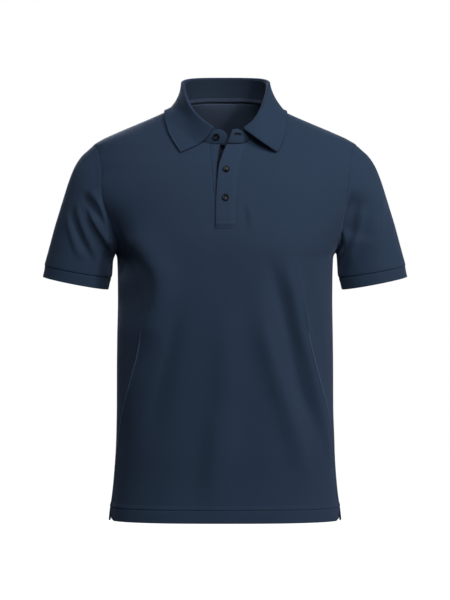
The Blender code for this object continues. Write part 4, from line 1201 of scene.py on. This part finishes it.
def placket(over, mats):
    near = np.array((0.012, 0.035, 0.07, 0.11))
    s = close_shares(22, near)[None, :]
    x, z = placket_grid(over, s, close_shares(70, near / 4)[:, None])
    points = creased_body(angle_at(x, z), z)
    if over:
        _, way = body_gap(points)
        points = points + way * (0.5 + 1.3 * smooth((1 - s) / 0.3))[..., None]
        points[..., 1] -= OVER_OFF(z) * (1 - s) ** 1.5
    else:
        points[..., 1] += UNDER_IN(z) * smooth((x - OVER_FREE(z) + UNDER_SEEN(z)) / 5)
    normals = grid_normals(points)
    across, up, sides, top = margins(points)
    gap = np.minimum(sides, np.minimum(up, top))
    if over:
        # grooves of the edge stitching and of the two rows that close the bottom
        sewn, bar = across[:, -1:] - across - SEWN_IN, z - BAR_STITCH
        dip = 0.45 * groove(sewn, 0.9) + 0.22 * groove(across - FREE_IN, 0.9)
        dip = dip + 0.55 * groove(bar, 0.9) + 0.5 * groove(up - BARS_UP[0], 0.9)
        dip = dip - 0.35 * groove(bar + 5.5, 3.0) + smooth((8.0 - up) / 6.0)
        points = points - normals * dip[..., None]
        normals = grid_normals(points)
    outer, inner = two_layers(points, normals, STRIP, edge_roll(gap, 0.8))
    name = "placket_over" if over else "placket_under"
    obj = shell("shirt_" + name, outer, inner, cloth_uv(points), [mats["strip"], mats["strip"]])
    if not over:
        # the lap of the under strip, which the over strip covers, is coloured darker: painted shade for the
        # gap under the over strip's free edge
        obj.data.materials.append(mats["lap_shade"])
        for face in obj.data.polygons:
            x, _, z = face.center / MM
            if x > OVER_FREE(z) - UNDER_SEEN(z) + 0.8:
                face.material_index = 2
    keep(obj, [name])
    return outer, normals, across, up


def line_at(points, normals, field, value, axis):
    """The line across a grid where a field that grows along the axis has one value."""
    lines = [], []
    for k in range(points.shape[1 - axis]):
        f = np.take(field, k, 1 - axis)
        for grid, line in zip((points, normals), lines):
            row = np.take(grid, k, 1 - axis)
            line.append([np.interp(value, f, row[:, c]) for c in range(3)])
    return np.array(lines[0]), unit(np.array(lines[1]))


def circle(radius, steps, x, y, z):
    """A level ring of points."""
    angles = 2 * math.pi * np.arange(steps) / steps
    return [(x + radius * math.cos(a), y + radius * math.sin(a), z) for a in angles]


def button(name, centre, normal, mats):
    """A four-hole button, sewn on with crossed thread."""
    side = unit(np.cross(normal, (0.0, 0.0, 1.0)))
    other = np.cross(side, normal)
    rings = [(BUTTON_WIDE / 2 * share, height) for share, height in BUTTON_PROFILE]
    rings = [BUTTON_MIDDLE[0], *rings, BUTTON_MIDDLE[1]]
    verts = []
    for radius, height in rings:
        verts += circle(radius, BUTTON_STEPS, 0.0, 0.0, height)
    faces = stacked(len(rings), BUTTON_STEPS)
    body = make_mesh(name + "_turned", verts, faces, [mats["button"]])
    pins = []
    for x in (-HOLES_APART, HOLES_APART):
        for y in (-HOLES_APART, HOLES_APART):
            ends = circle(HOLE, 16, x, y, -1.0) + circle(HOLE, 16, x, y, 4.0)
            pins.append(make_mesh(f"{name}_pin", ends, stacked(2, 16), []))
    for pin in pins:
        cut = body.modifiers.new("hole", "BOOLEAN")
        cut.operation, cut.object = "DIFFERENCE", pin
    bpy.context.view_layer.update()
    done = bpy.data.meshes.new_from_object(body.evaluated_get(bpy.context.evaluated_depsgraph_get()))
    for obj in [body, *pins]:
        bpy.data.objects.remove(obj, do_unlink=True)
    co = np.zeros(len(done.vertices) * 3, np.float32)
    done.vertices.foreach_get("co", co)
    co = co.reshape(-1, 3) @ np.stack([side, other, normal]) + centre * MM
    done.vertices.foreach_set("co", co.astype(np.float32).ravel())
    done.update()
    done.shade_smooth()
    done.set_sharp_from_angle(angle=math.radians(40))
    obj = bpy.data.objects.new(f"shirt_{name}", done)
    bpy.context.scene.collection.objects.link(obj)
    keep(obj, [name])
    sewing = Threads()
    for cross, above in ((1, 1.74), (-1, 1.62)):
        way = unit(side + other * cross)
        for off in (-0.22, 0.0, 0.22):
            spot = centre + normal * above + np.cross(normal, way) * off
            sewing.one(spot, way, normal, 2 * HOLES_APART * math.sqrt(2) * 0.98, 0.26, 0.3)
    sewing.make(f"shirt_{name}_thread", mats["thread"])


def buttonhole(threads, slits, centre, way, normal, long, wide):
    """A worked buttonhole: close stitches standing round a dark slit."""
    way = unit(way - normal * way.dot(normal))
    side = np.cross(normal, way)
    straight = long - wide
    around = 2 * straight + math.pi * wide
    count = int(around / 0.5)
    for k in range(count):
        at = around * (k + 0.5) / count
        end, rest = divmod(at, straight + math.pi * wide / 2)
        turn = 1 - 2 * end
        if rest < straight:
            place, out = way * (rest - straight / 2) - side * wide / 2, -side
        else:
            a = (rest - straight) / (wide / 2)
            out = way * math.sin(a) - side * math.cos(a)
            place = way * straight / 2 + out * wide / 2
        threads.one(centre + (place + out * 0.2) * turn + normal * 0.12, unit(out), normal, *HOLE_STITCH)
    rim = []
    for x, y, _ in circle(1.0, 24, 0.0, 0.0, 0.0):
        rim.append(centre + way * long * 0.47 * x + side * wide * 0.36 * y + normal * 0.16)
    slits.append((rim, centre + normal * 0.1))


def spot_on(points, normals, x, z):
    """Where the cloth in front lies at x, z, with the normal there and the nearest point of the grid."""
    flat = points.reshape(-1, 3)
    away = (flat[:, 0] - x) ** 2 + (flat[:, 2] - z) ** 2
    # the cloth behind the neck doesn't count
    near = int(np.argmin(away + (flat[:, 1] > -40) * 1e6))
    point, n = flat[near], normals.reshape(-1, 3)[near]
    y = point[1] - ((x - point[0]) * n[0] + (z - point[2]) * n[2]) / n[1]
    return np.array([x, y, z]), n, point


def neck_tape(mats, low, high, stand_normals):
    """The herringbone tape over the back neck seam."""
    middle, half = len(low) // 2, int(len(low) * TAPE_SHARE)
    span = slice(middle - half, middle + half + 1)
    low, high = low[span], high[span]
    inward = -stand_normals[0, span]
    rows = []
    for h in np.linspace(-0.9, TAPE_TALL, 10):
        share = h / np.linalg.norm(high - low, axis=1)
        bow = ring_out(low) * (STAND_BOW * np.sin(math.pi * share))[:, None]
        rows.append(low + (high - low) * share[:, None] + bow + inward * (COLLAR + 1.3))
    points = np.array(rows)
    _, up, sides, top = margins(points)
    gap = np.minimum(sides, np.minimum(up, top))
    outer, inner = two_layers(points, grid_normals(points), TAPE, edge_roll(gap, 0.45))
    layers = [mats["tape"], mats["tape"]]
    keep(shell("shirt_neck_tape", outer, inner, cloth_uv(points), layers), ["neck_tape"])


# ------------------------------------------------------------------ stage
# The stage is in metres, the lens in millimetres
CAMERA_BACK = 4.5
OPTICAL_Z = -0.332
LENS = 157.0
FLOOR_Z = -1.15
FLOOR_REACH = 9.0
WORLD_FILL = 0.068
# Lights: name, place, size, watts
LIGHTS = (
    ("key", (2.09, -2.09, 1.74), 0.5, 41.3),
    ("above", (0.12, -1.78, 1.30), 1.0, 17.8),
    ("front", (2.04, -2.90, 0.25), 1.4, 8.5),
    ("rim", (3.38, -1.23, -0.33), 1.4, 13.0),
    ("behind", (-0.6, 3.1, 1.6), 1.8, 85.0),
)


def mixed(tree, output, factor, first, second):
    """Show one of two shaders, as the factor says."""
    mix = tree.nodes.new("ShaderNodeMixShader")
    for socket, value in zip(mix.inputs, (factor, first, second)):
        tree.links.new(value, socket)
    tree.links.new(mix.outputs[0], find(tree, output).inputs["Surface"])


def stage():
    camera = bpy.data.objects.new("camera", bpy.data.cameras.new("camera"))
    camera.data.lens = LENS
    camera.data.sensor_width = 36.0
    camera.location = (0.0, -CAMERA_BACK, OPTICAL_Z)
    camera.rotation_euler = (math.pi / 2, 0, 0)
    scene = bpy.context.scene
    scene.collection.objects.link(camera)
    scene.camera = camera
    scene.view_settings.view_transform = "Standard"
    scene.view_settings.look = "None"

    # the backdrop is white to the camera and dim to the cloth
    scene.world = bpy.data.worlds.new("studio")
    scene.world.use_nodes = True
    tree = scene.world.node_tree
    back = find(tree, "BACKGROUND")
    dim = tree.nodes.new("ShaderNodeBackground")
    for node, colour, strength in ((back, (1, 1, 1, 1), 1.0), (dim, (0.92, 0.96, 1.0, 1), WORLD_FILL)):
        node.inputs["Color"].default_value = colour
        node.inputs["Strength"].default_value = strength
    path = tree.nodes.new("ShaderNodeLightPath")
    mixed(tree, "OUTPUT_WORLD", path.outputs["Is Camera Ray"], dim.outputs[0], back.outputs[0])

    # the floor is white from above and clear from below
    corners = [(-1, -1), (1, -1), (1, 1), (-1, 1)]
    corners = [(x * FLOOR_REACH / MM, y * FLOOR_REACH / MM, FLOOR_Z / MM) for x, y in corners]
    floor = make_mesh("floor", corners, [[0, 1, 2, 3]], [])
    mat = bpy.data.materials.new("floor_pale")
    mat.use_nodes = True
    tree = mat.node_tree
    shader = find(tree, "BSDF_PRINCIPLED")
    shader.inputs["Base Color"].default_value = (0.95, 0.95, 0.95, 1)
    shader.inputs["Roughness"].default_value = 0.9
    shader.inputs["Emission Color"].default_value = (1, 1, 1, 1)
    shader.inputs["Emission Strength"].default_value = 1.0
    clear = tree.nodes.new("ShaderNodeBsdfTransparent")
    geometry = tree.nodes.new("ShaderNodeNewGeometry")
    mixed(tree, "OUTPUT_MATERIAL", geometry.outputs["Backfacing"], shader.outputs[0], clear.outputs[0])
    floor.data.materials.append(mat)
    floor.visible_diffuse = False
    floor.visible_glossy = False


def light_all():
    aim = Vector((0.0, 0.0, -0.33))
    for name, place, size, power in LIGHTS:
        lamp = bpy.data.lights.new(name, "AREA")
        lamp.shape, lamp.size, lamp.energy = "DISK", size, power
        obj = bpy.data.objects.new(name, lamp)
        obj.location = place
        obj.rotation_euler = (aim - Vector(place)).to_track_quat("-Z", "Y").to_euler()
        bpy.context.scene.collection.objects.link(obj)


def main():
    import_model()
    mats = make_materials()
    threads, pale_highlight = Threads(), Threads()
    front_panel(mats, threads, pale_highlight)
    back_panel(mats, threads)
    shares = row_shares()
    half = math.pi * (1 - shares)
    angles = np.concatenate([half, -half[1:-1][::-1]])
    for side in (-1, 1):
        sleeve(side, *armhole(side, shares), angles, mats)
        cuff(side, mats)

    fold, edge, stand_low, stand_high = collar_lines()
    stand = collar_stand(mats, threads, stand_low, stand_high)
    collar_fall(mats, fold, edge)
    neck_tape(mats, stand_low, stand_high, stand[1])

    placket(False, mats)
    *strip, across, up = placket(True, mats)
    for field, value in ((across - across[:, -1:], -SEWN_IN), (across, FREE_IN)):
        line, n = line_at(*strip, field, value, 1)
        threads.run(line[3:-2], n[3:-2])
    for value in BARS_UP:
        line, n = line_at(*strip, up, value, 0)
        threads.run(line[3:-3], n[3:-3])

    slits = []
    upright, level = np.array([0.0, 0.0, 1.0]), np.array([1.0, 0.0, 0.0])
    for name, x, z in BUTTONS:
        spot, n, _ = spot_on(*strip, x, z)
        button(name, spot + n * BUTTON_OFF, n, mats)
        buttonhole(threads, slits, spot, upright, n, *STRIP_HOLE)
    spot, n, _ = spot_on(*stand, *STAND_BUTTON)
    button("button_stand", spot + n * BUTTON_OFF, n, mats)
    _, n, point = spot_on(*stand, *STAND_HOLE_AT)
    buttonhole(threads, slits, point + n * 0.45, level, n, *STAND_HOLE)
    verts, faces = [], []
    for rim, middle in slits:
        base = len(verts)
        verts += rim + [middle]
        faces += [[base + k, base + (k + 1) % len(rim), base + len(rim)] for k in range(len(rim))]
    keep(make_mesh("shirt_buttonhole_slits", verts, faces, [mats["slit"]]))

    threads.make("shirt_stitching", mats["thread"])
    pale_highlight.make("shirt_side_stitching_painted_highlight", mats["pale_highlight"])
    stage()
    light_all()


main()
